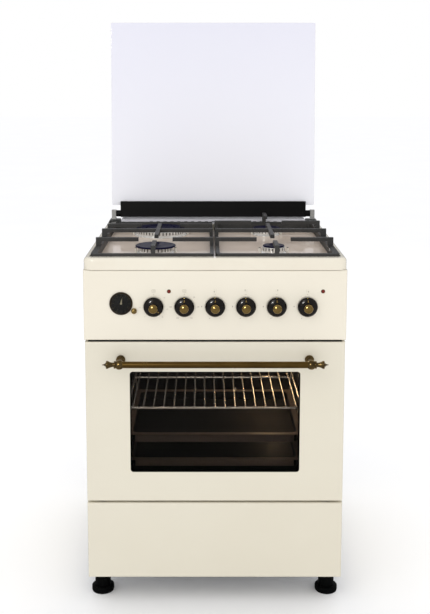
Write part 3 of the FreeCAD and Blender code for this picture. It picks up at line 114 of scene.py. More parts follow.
# what the camera sees, what lights the cooker, and a dim room in mirrored rays, so that dark gloss stays dark
shownSky, lightSky, mirroredSky = [
    addNode(worldTree, "Background", {"Color": studio[colour], "Strength": studio[power]}).outputs[0]
    for colour, power in (("backdrop", "backdropShown"), ("ambient", "ambientPower"), ("ambient", "mirroredPower"))]
rays = addNode(worldTree, "LightPath").outputs
litSky = addNode(worldTree, "MixShader", {0: rays["Is Glossy Ray"], 1: lightSky, 2: mirroredSky}).outputs[0]
sky = addNode(worldTree, "MixShader", {0: rays["Is Camera Ray"], 1: litSky, 2: shownSky}).outputs[0]
addNode(worldTree, "OutputWorld", {"Surface": sky})



def addSoftbox(name, box, aim):
    lightData = bpy.data.lights.new(name, "AREA")
    lightData.shape = "RECTANGLE"
    lightData.size, lightData.size_y = box["size"]
    lightData.energy = box["power"]
    lightData.color = box["tint"]
    light = bpy.data.objects.new(name, lightData)
    light.location = box["place"]
    light.rotation_euler = (Vector(aim) - Vector(box["place"])).to_track_quat("-Z", "Y").to_euler()
    light.visible_camera = False
    light.visible_diffuse, light.visible_glossy = box.get("diffuse", True), box.get("glossy", True)
    scene.collection.objects.link(light)


for boxName, box in studio["softboxes"].items():
    addSoftbox(boxName + "Softbox", box, studio["aim"])
addSoftbox("ovenFillLight", studio["ovenFill"], studio["ovenFill"]["aim"])

for bulbName, bulb in studio["bulbs"].items():
    bulbData = bpy.data.lights.new(bulbName, "POINT")
    bulbData.energy = bulb["power"]
    bulbData.color = bulb["tint"]
    bulbData.shadow_soft_size = bulb["radius"]
    bulbLight = bpy.data.objects.new(bulbName, bulbData)
    bulbLight.location = bulb["place"]
    bulbLight.visible_camera = False
    scene.collection.objects.link(bulbLight)
print("studio: camera, softboxes and oven light are set")


# effects shared by the finishes, each built once as a node group
effects = {}


def newEffect(name, takes, gives):
    group = bpy.data.node_groups.new(name, "ShaderNodeTree")
    for label, kind, value in takes:
        socket = group.interface.new_socket(label, in_out="INPUT", socket_type="NodeSocket" + kind)
        socket.default_value = value
    for label, kind in gives:
        group.interface.new_socket(label, in_out="OUTPUT", socket_type="NodeSocket" + kind)
    effects[name] = group
    return group, group.nodes.new("NodeGroupInput"), group.nodes.new("NodeGroupOutput")


def addMath(tree, operation, first, second=0.0, third=0.0, clamp=False):
    node = addNode(tree, "Math", {0: first, 1: second, 2: third}, operation=operation, use_clamp=clamp)
    return node.outputs[0]


def addMix(tree, mask, first, second):
    return addNode(tree, "Mix", {0: mask, 6: first, 7: second}, data_type="RGBA").outputs[2]


def objectPlace(tree):
    return tree.nodes.new("ShaderNodeTexCoord").outputs["Object"]


# slow drift between two tones, as enamel and castings have
group, entry, leave = newEffect("toneDrift", [
    ("Colour", "Color", (0.8, 0.8, 0.8, 1)), ("Other Colour", "Color", (0.7, 0.7, 0.7, 1)),
    ("Scale", "Float", 4.0), ("Amount", "Float", 0.5)], [("Colour", "Color"), ("Mask", "Float")])
noise = addNode(group, "TexNoise", {"Vector": objectPlace(group), "Scale": entry.outputs["Scale"],
                                    "Detail": 4.0, "Roughness": 0.6})
spread = addNode(group, "MapRange", {"Value": noise.outputs[0], "From Min": 0.36, "From Max": 0.64})
amount = addMath(group, "MULTIPLY", spread.outputs[0], entry.outputs["Amount"], clamp=True)
group.links.new(addMix(group, amount, entry.outputs["Colour"], entry.outputs["Other Colour"]),
                leave.inputs["Colour"])
group.links.new(amount, leave.inputs["Mask"])

# wiped and handled places, which change the gloss
group, entry, leave = newEffect("handling", [
    ("Roughness", "Float", 0.4), ("Spread", "Float", 0.1), ("Scale", "Float", 9.0)],
    [("Roughness", "Float")])
noise = addNode(group, "TexNoise", {"Vector": objectPlace(group), "Scale": entry.outputs["Scale"],
                                    "Detail": 5.0})
swing = addMath(group, "SUBTRACT", noise.outputs[0], 0.5)
group.links.new(addMath(group, "MULTIPLY_ADD", swing, entry.outputs["Spread"],
                        entry.outputs["Roughness"], clamp=True), leave.inputs["Roughness"])

# the fine waviness of stoved enamel and paint
group, entry, leave = newEffect("enamelPeel", [("Scale", "Float", 380.0)], [("Height", "Float")])
place = objectPlace(group)
fine = addNode(group, "TexNoise", {"Vector": place, "Scale": entry.outputs["Scale"], "Detail": 1.0})
wide = addNode(group, "TexNoise", {"Vector": place, "Scale": addMath(group, "MULTIPLY", entry.outputs[0], 0.14),
                                   "Detail": 0.0})
group.links.new(addMath(group, "MULTIPLY_ADD", wide.outputs[0], 1.6, fine.outputs[0]), leave.inputs["Height"])

# sand-cast pebbling, also used finer for moulded plastic
group, entry, leave = newEffect("castPebble", [("Scale", "Float", 700.0), ("Lumps", "Float", 0.5)],
                                [("Height", "Float"), ("Mask", "Float")])
place = objectPlace(group)
sand = addNode(group, "TexNoise", {"Vector": place, "Scale": entry.outputs["Scale"], "Detail": 3.0,
                                   "Roughness": 0.7})
lumps = addNode(group, "TexVoronoi", {"Vector": place, "Scale": addMath(group, "MULTIPLY", entry.outputs[0], 0.45)},
                feature="SMOOTH_F1")
height = addMath(group, "MULTIPLY_ADD", lumps.outputs["Distance"], entry.outputs["Lumps"], sand.outputs[0])
group.links.new(height, leave.inputs["Height"])
group.links.new(addNode(group, "MapRange", {"Value": sand.outputs[0], "From Min": 0.4, "From Max": 0.7}).outputs[0],
                leave.inputs["Mask"])

# drawn or brushed lines, long where Stretch is small
group, entry, leave = newEffect("drawnLines", [
    ("Stretch", "Vector", (1.0, 1.0, 1.0)), ("Scale", "Float", 600.0)], [("Height", "Float"), ("Mask", "Float")])
stretched = addNode(group, "VectorMath", {0: objectPlace(group), 1: entry.outputs["Stretch"]}, operation="MULTIPLY")
streaks = addNode(group, "TexNoise", {"Vector": stretched.outputs[0], "Scale": entry.outputs["Scale"],
                                      "Detail": 3.0, "Roughness": 0.65})
group.links.new(streaks.outputs[0], leave.inputs["Height"])
group.links.new(addNode(group, "MapRange", {
    "Value": streaks.outputs[0], "From Min": 0.38, "From Max": 0.62}).outputs[0], leave.inputs["Mask"])

# small scattered flecks, as in dark vitreous enamel
group, entry, leave = newEffect("enamelFlecks", [("Scale", "Float", 500.0), ("Size", "Float", 0.12)],
                                [("Mask", "Float")])
cells = addNode(group, "TexVoronoi", {"Vector": objectPlace(group), "Scale": entry.outputs["Scale"]})
chosen = addNode(group, "SeparateColor", {0: cells.outputs["Color"]})
few = addMath(group, "GREATER_THAN", chosen.outputs[0], 0.62)
near = addMath(group, "LESS_THAN", cells.outputs["Distance"], entry.outputs["Size"])
group.links.new(addMath(group, "MULTIPLY", few, near), leave.inputs["Mask"])

# the crystals of zinc on plated sheet
group, entry, leave = newEffect("zincCrystals", [("Scale", "Float", 110.0)], [("Mask", "Float")])
warp = addNode(group, "TexNoise", {"Vector": objectPlace(group), "Scale": 60.0, "Detail": 2.0})
shifted = addNode(group, "VectorMath", {0: warp.outputs["Color"], 1: (0.012, 0.012, 0.012), 2: objectPlace(group)},
                  operation="MULTIPLY_ADD")
cells = addNode(group, "TexVoronoi", {"Vector": shifted.outputs[0], "Scale": entry.outputs["Scale"]})
group.links.new(addNode(group, "SeparateColor", {0: cells.outputs["Color"]}).outputs[1], leave.inputs["Mask"])

# rounds the look of a sharp edge and says where the edges are
group, entry, leave = newEffect("wornEdges", [
    ("Radius", "Float", 0.001), ("Spread", "Float", 6.0)], [("Normal", "Vector"), ("Mask", "Float")])
bevel = addNode(group, "Bevel", {"Radius": entry.outputs["Radius"]}, samples=4)
facing = addNode(group, "NewGeometry")
same = addNode(group, "VectorMath", {0: bevel.outputs[0], 1: facing.outputs["Normal"]}, operation="DOT_PRODUCT")
away = addMath(group, "SUBTRACT", 1.0, same.outputs["Value"])
group.links.new(bevel.outputs[0], leave.inputs["Normal"])
group.links.new(addMath(group, "MULTIPLY", away, entry.outputs["Spread"], clamp=True), leave.inputs["Mask"])

# 1 where a place along a direction is past an edge
group, entry, leave = newEffect("pastEdge", [
    ("Along", "Vector", (0.0, 0.0, 1.0)), ("Edge", "Float", 0.0), ("Softness", "Float", 0.0004)],
    [("Mask", "Float")])
along = addNode(group, "VectorMath", {0: objectPlace(group), 1: entry.outputs["Along"]}, operation="DOT_PRODUCT")
beyond = addMath(group, "SUBTRACT", along.outputs["Value"], entry.outputs["Edge"])
group.links.new(addNode(group, "MapRange", {"Value": beyond, "From Min": addMath(
    group, "MULTIPLY", entry.outputs["Softness"], -1.0), "From Max": entry.outputs["Softness"]}).outputs[0],
    leave.inputs["Mask"])

# 1 inside a radius round a point, seen along the depth
group, entry, leave = newEffect("insideDisc", [
    ("Centre", "Vector", (0.0, 0.0, 0.0)), ("Across", "Vector", (1.0, 0.0, 1.0)), ("Radius", "Float", 0.02)],
    [("Mask", "Float")])
offset = addNode(group, "VectorMath", {0: objectPlace(group), 1: entry.outputs["Centre"]}, operation="SUBTRACT")
flat = addNode(group, "VectorMath", {0: offset.outputs[0], 1: entry.outputs["Across"]}, operation="MULTIPLY")
away = addNode(group, "VectorMath", {0: flat.outputs[0]}, operation="LENGTH")
group.links.new(addMath(group, "LESS_THAN", away.outputs["Value"], entry.outputs["Radius"]), leave.inputs["Mask"])
print("effects:", len(effects), "node groups")


# finishes
finishes = {}


def useEffect(tree, name, values):
    node = tree.nodes.new("ShaderNodeGroup")
    node.node_tree = effects[name]
    for socket, value in values.items():
        node.inputs[socket].default_value = value
    return node


# one finish from its values: tone drift, handling, surface texture, worn edges, flecks
def makeFinish(name, look):
    material = bpy.data.materials.new(name)
    material.use_nodes = True
    tree = material.node_tree
    shader = tree.nodes["Principled BSDF"]
    shader.inputs["Metallic"].default_value = look.get("metal", 0.0)
    shader.inputs["Coat Weight"].default_value = look.get("coat", 0.0)
    shader.inputs["Coat Roughness"].default_value = look.get("coatRoughness", 0.05)
    shader.inputs["Specular IOR Level"].default_value = look.get("specular", 0.5)
    tone = useEffect(tree, "toneDrift", {
        "Colour": look["colour"], "Other Colour": look["otherColour"],
        "Scale": look.get("driftScale", 4.0), "Amount": look.get("drift", 0.6)})
    colour = tone.outputs["Colour"]
    rounded = None
    texture = look.get("texture")
    if texture:
        made = useEffect(tree, texture["effect"], texture["values"])
        height = made.outputs["Height"]
        if "tint" in texture:
            colour = addMix(tree, addMath(tree, "MULTIPLY", made.outputs["Mask"], texture["tintAmount"]),
                            colour, texture["tint"])
    if "crystals" in look:
        crystals = useEffect(tree, "zincCrystals", {"Scale": look["crystals"]["scale"]})
        colour = addMix(tree, addMath(tree, "MULTIPLY", crystals.outputs["Mask"], look["crystals"]["amount"]),
                        colour, look["crystals"]["colour"])
    if "flecks" in look:
        flecks = useEffect(tree, "enamelFlecks", {"Scale": look["flecks"]["scale"], "Size": look["flecks"]["size"]})
        colour = addMix(tree, addMath(tree, "MULTIPLY", flecks.outputs["Mask"], look["flecks"]["amount"]),
                        colour, look["flecks"]["colour"])
    if "edge" in look:
        rounded = useEffect(tree, "wornEdges", {"Radius": look["edge"]["radius"], "Spread": look["edge"]["spread"]})
        colour = addMix(tree, addMath(tree, "MULTIPLY", rounded.outputs["Mask"], look["edge"]["amount"]),
                        colour, look["edge"]["colour"])
    tree.links.new(colour, shader.inputs["Base Color"])
    gloss = useEffect(tree, "handling", {
        "Roughness": look["roughness"], "Spread": look.get("smudges", 0.08), "Scale": look.get("smudgeScale", 9.0)})
    tree.links.new(gloss.outputs["Roughness"], shader.inputs["Roughness"])
    if texture:
        bump = addNode(tree, "Bump", {"Strength": texture["strength"], "Distance": texture["depth"],
                                      "Height": height})
        if rounded:
            tree.links.new(rounded.outputs["Normal"], bump.inputs["Normal"])
        tree.links.new(bump.outputs[0], shader.inputs["Normal"])
    elif rounded:
        tree.links.new(rounded.outputs["Normal"], shader.inputs["Normal"])
    finishes[name] = material
    return material


# what a mask covers gets its own colour, gloss and metal
def addZone(material, mask, zone):
    tree = material.node_tree
    shader = tree.nodes["Principled BSDF"]
    colour = shader.inputs["Base Color"]
    tree.links.new(addMix(tree, mask, colour.links[0].from_socket, zone["colour"]), colour)
    for label, value in (("Roughness", zone["roughness"]), ("Metallic", zone.get("metal", 0.0))):
        socket = shader.inputs[label]
        before = socket.links[0].from_socket if socket.links else socket.default_value
        if before != value:
            tree.links.new(addNode(tree, "Mix", {0: mask, 2: before, 3: value}, data_type="FLOAT").outputs[0], socket)


# the place past an edge, in metres along a direction
def edgeMask(material, along, edge, softness=0.0003):
    made = useEffect(material.node_tree, "pastEdge", {"Along": along, "Edge": edge, "Softness": softness})
    return made.outputs["Mask"]


def peel(scale=380.0, strength=0.10, depth=0.0004):
    return {"effect": "enamelPeel", "values": {"Scale": scale}, "strength": strength, "depth": depth}


def pebble(scale, strength, depth, lumps=0.5, **more):
    return {"effect": "castPebble", "values": {"Scale": scale, "Lumps": lumps}, "strength": strength,
            "depth": depth, **more}


def lines(stretch, scale, strength, depth, **more):
    return {"effect": "drawnLines", "values": {"Stretch": stretch, "Scale": scale}, "strength": strength,
            "depth": depth, **more}


finishLooks = {
    "creamEnamel": {
        "colour": paint(222, 216, 199), "otherColour": paint(218, 211, 193), "driftScale": 2.2, "drift": 0.6,
        "roughness": 0.26, "smudges": 0.04, "smudgeScale": 6.0, "coat": 0.35, "coatRoughness": 0.07,
        "texture": peel()},
    # painted light: the panel's enamel is the door's cream painted lighter, for the stronger light falling on the
    # panel
    "panelEnamelPaintedLight": {
        "colour": paint(232, 225, 209), "otherColour": paint(229, 222, 205), "driftScale": 2.2, "drift": 0.6,
        "roughness": 0.24, "smudges": 0.04, "smudgeScale": 6.0, "coat": 0.35, "coatRoughness": 0.07,
        "texture": peel()},
    "hobEnamel": {
        "colour": paint(232, 226, 210), "otherColour": paint(226, 217, 200), "driftScale": 5.0, "drift": 0.7,
        "roughness": 0.15, "smudges": 0.14, "smudgeScale": 12.0, "coat": 0.6, "coatRoughness": 0.04,
        "texture": peel(300.0, 0.12)},
    "casingPaint": {
        "colour": paint(230, 222, 203), "otherColour": paint(224, 216, 196), "driftScale": 2.0, "drift": 0.6,
        "roughness": 0.38, "smudges": 0.12, "texture": peel(520.0, 0.16, 0.0005)},
    "ventPaint": {
        "colour": paint(224, 223, 228), "otherColour": paint(214, 213, 220), "driftScale": 6.0,
        "roughness": 0.3, "texture": peel(520.0, 0.12)},
    "zincSheet": {
        "colour": paint(196, 198, 201), "otherColour": paint(182, 184, 188), "driftScale": 5.0, "metal": 0.45,
        "roughness": 0.42, "smudges": 0.2, "smudgeScale": 14.0,
        "crystals": {"scale": 95.0, "amount": 0.5, "colour": paint(220, 222, 225)},
        "texture": lines((1.0, 1.0, 0.05), 500.0, 0.12, 0.0003)},
    "platedSteel": {
        "colour": paint(190, 190, 188), "otherColour": paint(172, 170, 165), "driftScale": 30.0, "metal": 0.7,
        "roughness": 0.32, "smudges": 0.18, "smudgeScale": 40.0,
        "texture": lines((0.1, 1.0, 1.0), 900.0, 0.2, 0.0002),
        "edge": {"radius": 0.0005, "spread": 5.0, "amount": 0.4, "colour": paint(215, 215, 212)}},
    "pipeAluminium": {
        "colour": paint(186, 187, 190), "otherColour": paint(166, 167, 170), "driftScale": 18.0, "metal": 0.95,
        "roughness": 0.36, "smudges": 0.2, "texture": lines((0.08, 1.0, 1.0), 700.0, 0.2, 0.0003)},
    "ovenEnamel": {
        "colour": paint(13, 11, 10), "otherColour": paint(18, 15, 12), "driftScale": 7.0, "drift": 0.8,
        "specular": 0.25, "roughness": 0.4, "smudges": 0.2, "smudgeScale": 16.0,
        "flecks": {"scale": 420.0, "size": 0.16, "amount": 0.2, "colour": paint(104, 98, 92)},
        "texture": peel(260.0, 0.2, 0.0006)},
    "trayEnamel": {
        "colour": paint(20, 18, 17), "otherColour": paint(15, 14, 13), "driftScale": 9.0, "drift": 0.8,
        "specular": 0.2, "roughness": 0.6, "smudges": 0.2, "smudgeScale": 18.0,
        "flecks": {"scale": 520.0, "size": 0.18, "amount": 0.3, "colour": paint(150, 146, 142)},
        "texture": peel(300.0, 0.2, 0.0005)},
    "woolMat": {
        "colour": paint(214, 200, 150), "otherColour": paint(178, 160, 108), "driftScale": 24.0, "drift": 0.9,
        "roughness": 0.95, "smudges": 0.05,
        "texture": lines((1.0, 0.25, 0.25), 260.0, 0.8, 0.004, tint=paint(232, 222, 184), tintAmount=0.5)},
    "sealSilicone": {
        "colour": paint(46, 44, 43), "otherColour": paint(58, 55, 52), "driftScale": 14.0,
        "roughness": 0.7, "texture": pebble(900.0, 0.3, 0.0002)},
    "chromeWire": {
        "colour": paint(220, 220, 218), "otherColour": paint(196, 190, 180), "driftScale": 22.0, "drift": 0.5,
        "metal": 0.75, "roughness": 0.24, "smudges": 0.16, "smudgeScale": 30.0,
        "texture": lines((1.0, 1.0, 1.0), 900.0, 0.08, 0.0001)},
    "elementSteel": {
        "colour": paint(84, 72, 62), "otherColour": paint(50, 44, 42), "driftScale": 26.0, "drift": 0.9,
        "metal": 0.7, "roughness": 0.5, "smudges": 0.2, "texture": pebble(800.0, 0.3, 0.0002)},
    # the lid rail's black; also the painted shade behind the cooling gap and in the louvre mouths
    "railBlackAndShade": {
        "colour": paint(5, 5, 6), "otherColour": paint(9, 9, 10), "driftScale": 6.0, "specular": 0.15,
        "roughness": 0.5, "smudges": 0.1, "texture": lines((0.04, 1.0, 1.0), 700.0, 0.15, 0.0002),
        "edge": {"radius": 0.0006, "spread": 4.0, "amount": 0.2, "colour": paint(40, 40, 43)}},
    "castIron": {
        "colour": paint(54, 53, 52), "otherColour": paint(42, 42, 42), "driftScale": 16.0, "drift": 0.8,
        "specular": 0.35, "roughness": 0.5, "smudges": 0.16, "smudgeScale": 30.0,
        "texture": pebble(620.0, 0.55, 0.0005, tint=paint(78, 77, 75), tintAmount=0.35),
        "edge": {"radius": 0.0016, "spread": 5.0, "amount": 0.45, "colour": paint(86, 89, 90)}},
    "burnerAlloy": {
        "colour": paint(238, 237, 234), "otherColour": paint(216, 214, 209), "driftScale": 40.0, "drift": 0.7,
        "metal": 0.3, "roughness": 0.26, "smudges": 0.2, "smudgeScale": 50.0,
        "texture": pebble(1100.0, 0.3, 0.0002)},
    # darker grey on the burner ports' sunk slot faces; on the casing screws the same dark is painted shade
    "darkPortsAndRecessShade": {
        "colour": paint(88, 85, 82), "otherColour": paint(116, 112, 107), "driftScale": 60.0, "metal": 0.4,
        "roughness": 0.7, "texture": pebble(900.0, 0.4, 0.0003)},
    "capEnamel": {
        "colour": paint(20, 19, 44), "otherColour": paint(28, 27, 54), "driftScale": 14.0, "drift": 0.8,
        "specular": 0.03, "roughness": 0.3, "smudges": 0.2, "smudgeScale": 30.0,
        "texture": pebble(700.0, 0.18, 0.0003)},
    "ceramicWhite": {
        "colour": paint(236, 233, 224), "otherColour": paint(214, 208, 194), "driftScale": 90.0,
        "roughness": 0.25, "texture": pebble(1500.0, 0.1, 0.0001)},
    "agedBronze": {
        "colour": paint(108, 85, 42), "otherColour": paint(78, 59, 26), "driftScale": 20.0, "drift": 0.7,
        "metal": 0.95, "roughness": 0.3, "smudges": 0.2, "smudgeScale": 40.0,
        "texture": lines((0.05, 1.0, 1.0), 800.0, 0.2, 0.0002, tint=paint(136, 102, 52), tintAmount=0.3)},
    "darkBronze": {
        "colour": paint(122, 101, 62), "otherColour": paint(84, 68, 42), "driftScale": 60.0, "drift": 0.9,
        "metal": 0.92, "roughness": 0.26, "smudges": 0.2, "smudgeScale": 60.0,
        "texture": pebble(1200.0, 0.25, 0.0002),
        "edge": {"radius": 0.0008, "spread": 5.0, "amount": 0.6, "colour": paint(150, 118, 66)}},
    "knobBronze": {
        "colour": paint(24, 17, 12), "otherColour": paint(14, 11, 9), "driftScale": 50.0, "drift": 0.8,
        "metal": 0.4, "specular": 0.4, "roughness": 0.22, "smudges": 0.16, "smudgeScale": 60.0, "coat": 0.35,
        "coatRoughness": 0.06, "texture": pebble(1200.0, 0.12, 0.0002),
        "edge": {"radius": 0.0008, "spread": 4.0, "amount": 0.3, "colour": paint(88, 62, 32)}},
    "domeBrass": {
        "colour": paint(170, 142, 86), "otherColour": paint(140, 114, 64), "driftScale": 110.0, "drift": 0.5,
        "metal": 0.97, "roughness": 0.2, "smudges": 0.16, "smudgeScale": 80.0,
        "texture": pebble(1600.0, 0.15, 0.0001)},
    "brassPart": {
        "colour": paint(196, 164, 96), "otherColour": paint(160, 128, 70), "driftScale": 30.0, "metal": 0.95,
        "roughness": 0.32, "smudges": 0.2, "texture": lines((0.1, 1.0, 1.0), 800.0, 0.2, 0.0002)},
    # black plastic; also the painted shade on the door's top edge and behind the vent strip's slots
    "blackPlasticAndShade": {
        "colour": paint(4, 5, 5), "otherColour": paint(8, 9, 9), "driftScale": 20.0, "specular": 0.07,
        "roughness": 0.46, "smudges": 0.1, "texture": pebble(1000.0, 0.35, 0.0003),
        "edge": {"radius": 0.0008, "spread": 4.0, "amount": 0.25, "colour": paint(42, 42, 44)}},
    "dialBlack": {
        "colour": paint(13, 12, 11), "otherColour": paint(19, 17, 16), "driftScale": 40.0, "specular": 0.25,
        "roughness": 0.5, "smudges": 0.1, "texture": pebble(1400.0, 0.15, 0.0001)},
    "handGold": {
        "colour": paint(234, 222, 186), "otherColour": paint(214, 196, 150), "driftScale": 90.0,
        "metal": 0.3, "roughness": 0.32, "texture": lines((1.0, 1.0, 0.1), 1500.0, 0.15, 0.0001)},
    "printInk": {
        "colour": paint(150, 142, 126), "otherColour": paint(166, 158, 142), "driftScale": 120.0,
        "roughness": 0.5, "texture": pebble(1500.0, 0.1, 0.0001)},
    "dialInk": {
        "colour": paint(112, 96, 66), "otherColour": paint(96, 82, 56), "driftScale": 120.0,
        "roughness": 0.5, "texture": pebble(1500.0, 0.1, 0.0001)},
}
for finishName, finishLook in finishLooks.items():
    makeFinish(finishName, finishLook)

# painted reflection: the hob's sunk tray is painted a warmer, darker tone than its rim, standing in for the
# reflections seen in it
paintedRecessReflection = {"below": 827.0, "half": 276.0, "depths": (28.0, 500.0), "softness": 0.0015,
              "colour": paint(220, 202, 184), "roughness": 0.3}
hobMaterial = finishes["hobEnamel"]
paintedReflectionMask = 1.0
for along, edge in (((0, 0, -1), -paintedRecessReflection["below"] / 1000), ((1, 0, 0), -paintedRecessReflection["half"] / 1000),
                    ((-1, 0, 0), -paintedRecessReflection["half"] / 1000), ((0, 1, 0), spot(0, paintedRecessReflection["depths"][0], 0).y),
                    ((0, -1, 0), -spot(0, paintedRecessReflection["depths"][1], 0).y)):
    paintedReflectionMask = addMath(hobMaterial.node_tree, "MULTIPLY",
                         edgeMask(hobMaterial, along, edge, paintedRecessReflection["softness"]), paintedReflectionMask)
addZone(hobMaterial, paintedReflectionMask, paintedRecessReflection)

# knob bodies are dark bronze with a brass dome in front
knobZone = {"domeDepth": -27.4, "colour": paint(158, 122, 56), "roughness": 0.24, "metal": 0.95}
knobMaterial = makeFinish("knobBody", finishLooks["knobBronze"])
addZone(knobMaterial, edgeMask(knobMaterial, (0, -1, 0), -spot(0, knobZone["domeDepth"], 0).y), knobZone)

# the lid's posts are bright with black feet
postZone = {"top": 839.0, "colour": paint(18, 18, 20), "roughness": 0.4}
postMaterial = makeFinish("postSteel", finishLooks["platedSteel"])
addZone(postMaterial, edgeMask(postMaterial, (0, 0, -1), -postZone["top"] / 1000), postZone)

# igniters: white ceramic with a steel electrode at the top
igniterZone = {"top": 829.6, "colour": paint(140, 136, 130), "roughness": 0.35, "metal": 0.9}
igniterMaterial = makeFinish("igniterCeramic", finishLooks["ceramicWhite"])
addZone(igniterMaterial, edgeMask(igniterMaterial, (0, 0, 1), igniterZone["top"] / 1000), igniterZone)

# timer: a bronze rim, a black face inside it and a black case behind the panel
timerLook = {"dialX": -214.0, "dialHeight": 726.0, "faceRadius": 23.5, "rimDepth": -0.1,
             "rim": {"colour": paint(66, 54, 40), "roughness": 0.3, "metal": 0.85}}
timerMaterial = makeFinish("timerCase", finishLooks["dialBlack"])
timerTree = timerMaterial.node_tree
rimFront = edgeMask(timerMaterial, (0, -1, 0), -spot(0, timerLook["rimDepth"], 0).y, 0.0001)
faceDisc = useEffect(timerTree, "insideDisc", {
    "Centre": spot(timerLook["dialX"], 0, timerLook["dialHeight"]), "Radius": timerLook["faceRadius"] / 1000})
outsideFace = addMath(timerTree, "SUBTRACT", 1.0, faceDisc.outputs["Mask"])
addZone(timerMaterial, addMath(timerTree, "MULTIPLY", rimFront, outsideFace), timerLook["rim"])

# trays: painted light: the front wall and the rim are painted lighter than the inside, the deep tray's wall more so,
# standing in for the light that reaches them
trayLook = {"wallThick": 0.0155, "rimThick": 0.0016, "rimPaintedLight": 0.7,
            "rim": {"colour": paint(128, 112, 100), "roughness": 0.4},
            "walls": {"baking_tray": {"colour": paint(104, 94, 88), "roughness": 0.45},
                      "deep_tray": {"colour": paint(132, 120, 112), "roughness": 0.45}}}
trayFinishes = {"baking_tray": "bakingTray", "deep_tray": "deepTray"}
for trayNode, trayName in trayFinishes.items():
    trayLow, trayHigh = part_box(trayNode)
    trayMaterial = makeFinish(trayName, finishLooks["trayEnamel"])
    wallMask = edgeMask(trayMaterial, (0, -1, 0), -(trayLow.y + trayLook["wallThick"]))
    rimMask = edgeMask(trayMaterial, (0, 0, 1), trayHigh.z - trayLook["rimThick"], 0.0002)
    addZone(trayMaterial, wallMask, trayLook["walls"][trayNode])
    addZone(trayMaterial, addMath(trayMaterial.node_tree, "MULTIPLY", rimMask, trayLook["rimPaintedLight"]), trayLook["rim"])


# clear and lit things keep plain transmission
def makeGlass(name, look):
    material = bpy.data.materials.new(name)
    material.use_nodes = True
    tree = material.node_tree
    shader = tree.nodes["Principled BSDF"]
    shader.inputs["Transmission Weight"].default_value = look["clear"]
    shader.inputs["IOR"].default_value = look["bend"]
    shader.inputs["Emission Color"].default_value = look.get("glow", (0, 0, 0, 1))
    shader.inputs["Emission Strength"].default_value = look.get("glowPower", 0.0)
    tone = useEffect(tree, "toneDrift", {
        "Colour": look["colour"], "Other Colour": look["otherColour"], "Scale": look["driftScale"], "Amount": 0.6})
    tree.links.new(tone.outputs["Colour"], shader.inputs["Base Color"])
    gloss = useEffect(tree, "handling", {
        "Roughness": look["roughness"], "Spread": look["smudges"], "Scale": 8.0})
    tree.links.new(gloss.outputs["Roughness"], shader.inputs["Roughness"])
    finishes[name] = material
    return material


glassLooks = {
    "ovenGlass": {"colour": (0.80, 0.77, 0.74, 1), "otherColour": (0.76, 0.73, 0.70, 1), "driftScale": 5.0,
                  "clear": 1.0, "bend": 1.12, "roughness": 0.0, "smudges": 0.01},
    "dialGlass": {"colour": (0.95, 0.95, 0.94, 1), "otherColour": (0.92, 0.92, 0.90, 1), "driftScale": 40.0,
                  "clear": 1.0, "bend": 1.2, "roughness": 0.02, "smudges": 0.02},
    "lampGlass": {"colour": (1.0, 0.93, 0.8, 1), "otherColour": (1.0, 0.88, 0.7, 1), "driftScale": 60.0,
                  "clear": 0.4, "bend": 1.4, "roughness": 0.35, "smudges": 0.1,
                  "glow": (1.0, 0.72, 0.42, 1), "glowPower": 9.0},
    "pilotRed": {"colour": (0.20, 0.02, 0.016, 1), "otherColour": (0.14, 0.012, 0.01, 1), "driftScale": 300.0,
                 "clear": 0.1, "bend": 1.45, "roughness": 0.15, "smudges": 0.1},
}
for glassName, glassLook in glassLooks.items():
    makeGlass(glassName, glassLook)

# the lid is glass, painted white behind, with green-grey ground edges. Painted light and shade: its white is painted
# lighter below and darker above, for how the light falls on it
lidLook = {
    "colour": paint(246, 246, 251), "otherColour": paint(242, 242, 249), "driftScale": 1.6, "drift": 0.6,
    "roughness": 0.09, "smudges": 0.06, "smudgeScale": 5.0, "coat": 0.3, "coatRoughness": 0.02,
    "texture": peel(60.0, 0.03, 0.0003),
    "edge": {"radius": 0.0012, "spread": 6.0, "amount": 0.6, "colour": paint(176, 188, 190)}}
lidMaterial = makeFinish("lidGlass", lidLook)
paintedLidShade = {"middle": 1120.0, "fade": 260.0, "colour": paint(229, 229, 240), "roughness": 0.09}  # painted shade above
addZone(lidMaterial, edgeMask(lidMaterial, (0, 0, 1), paintedLidShade["middle"] / 1000, paintedLidShade["fade"] / 1000), paintedLidShade)
print("finishes:", len(finishes), "materials")

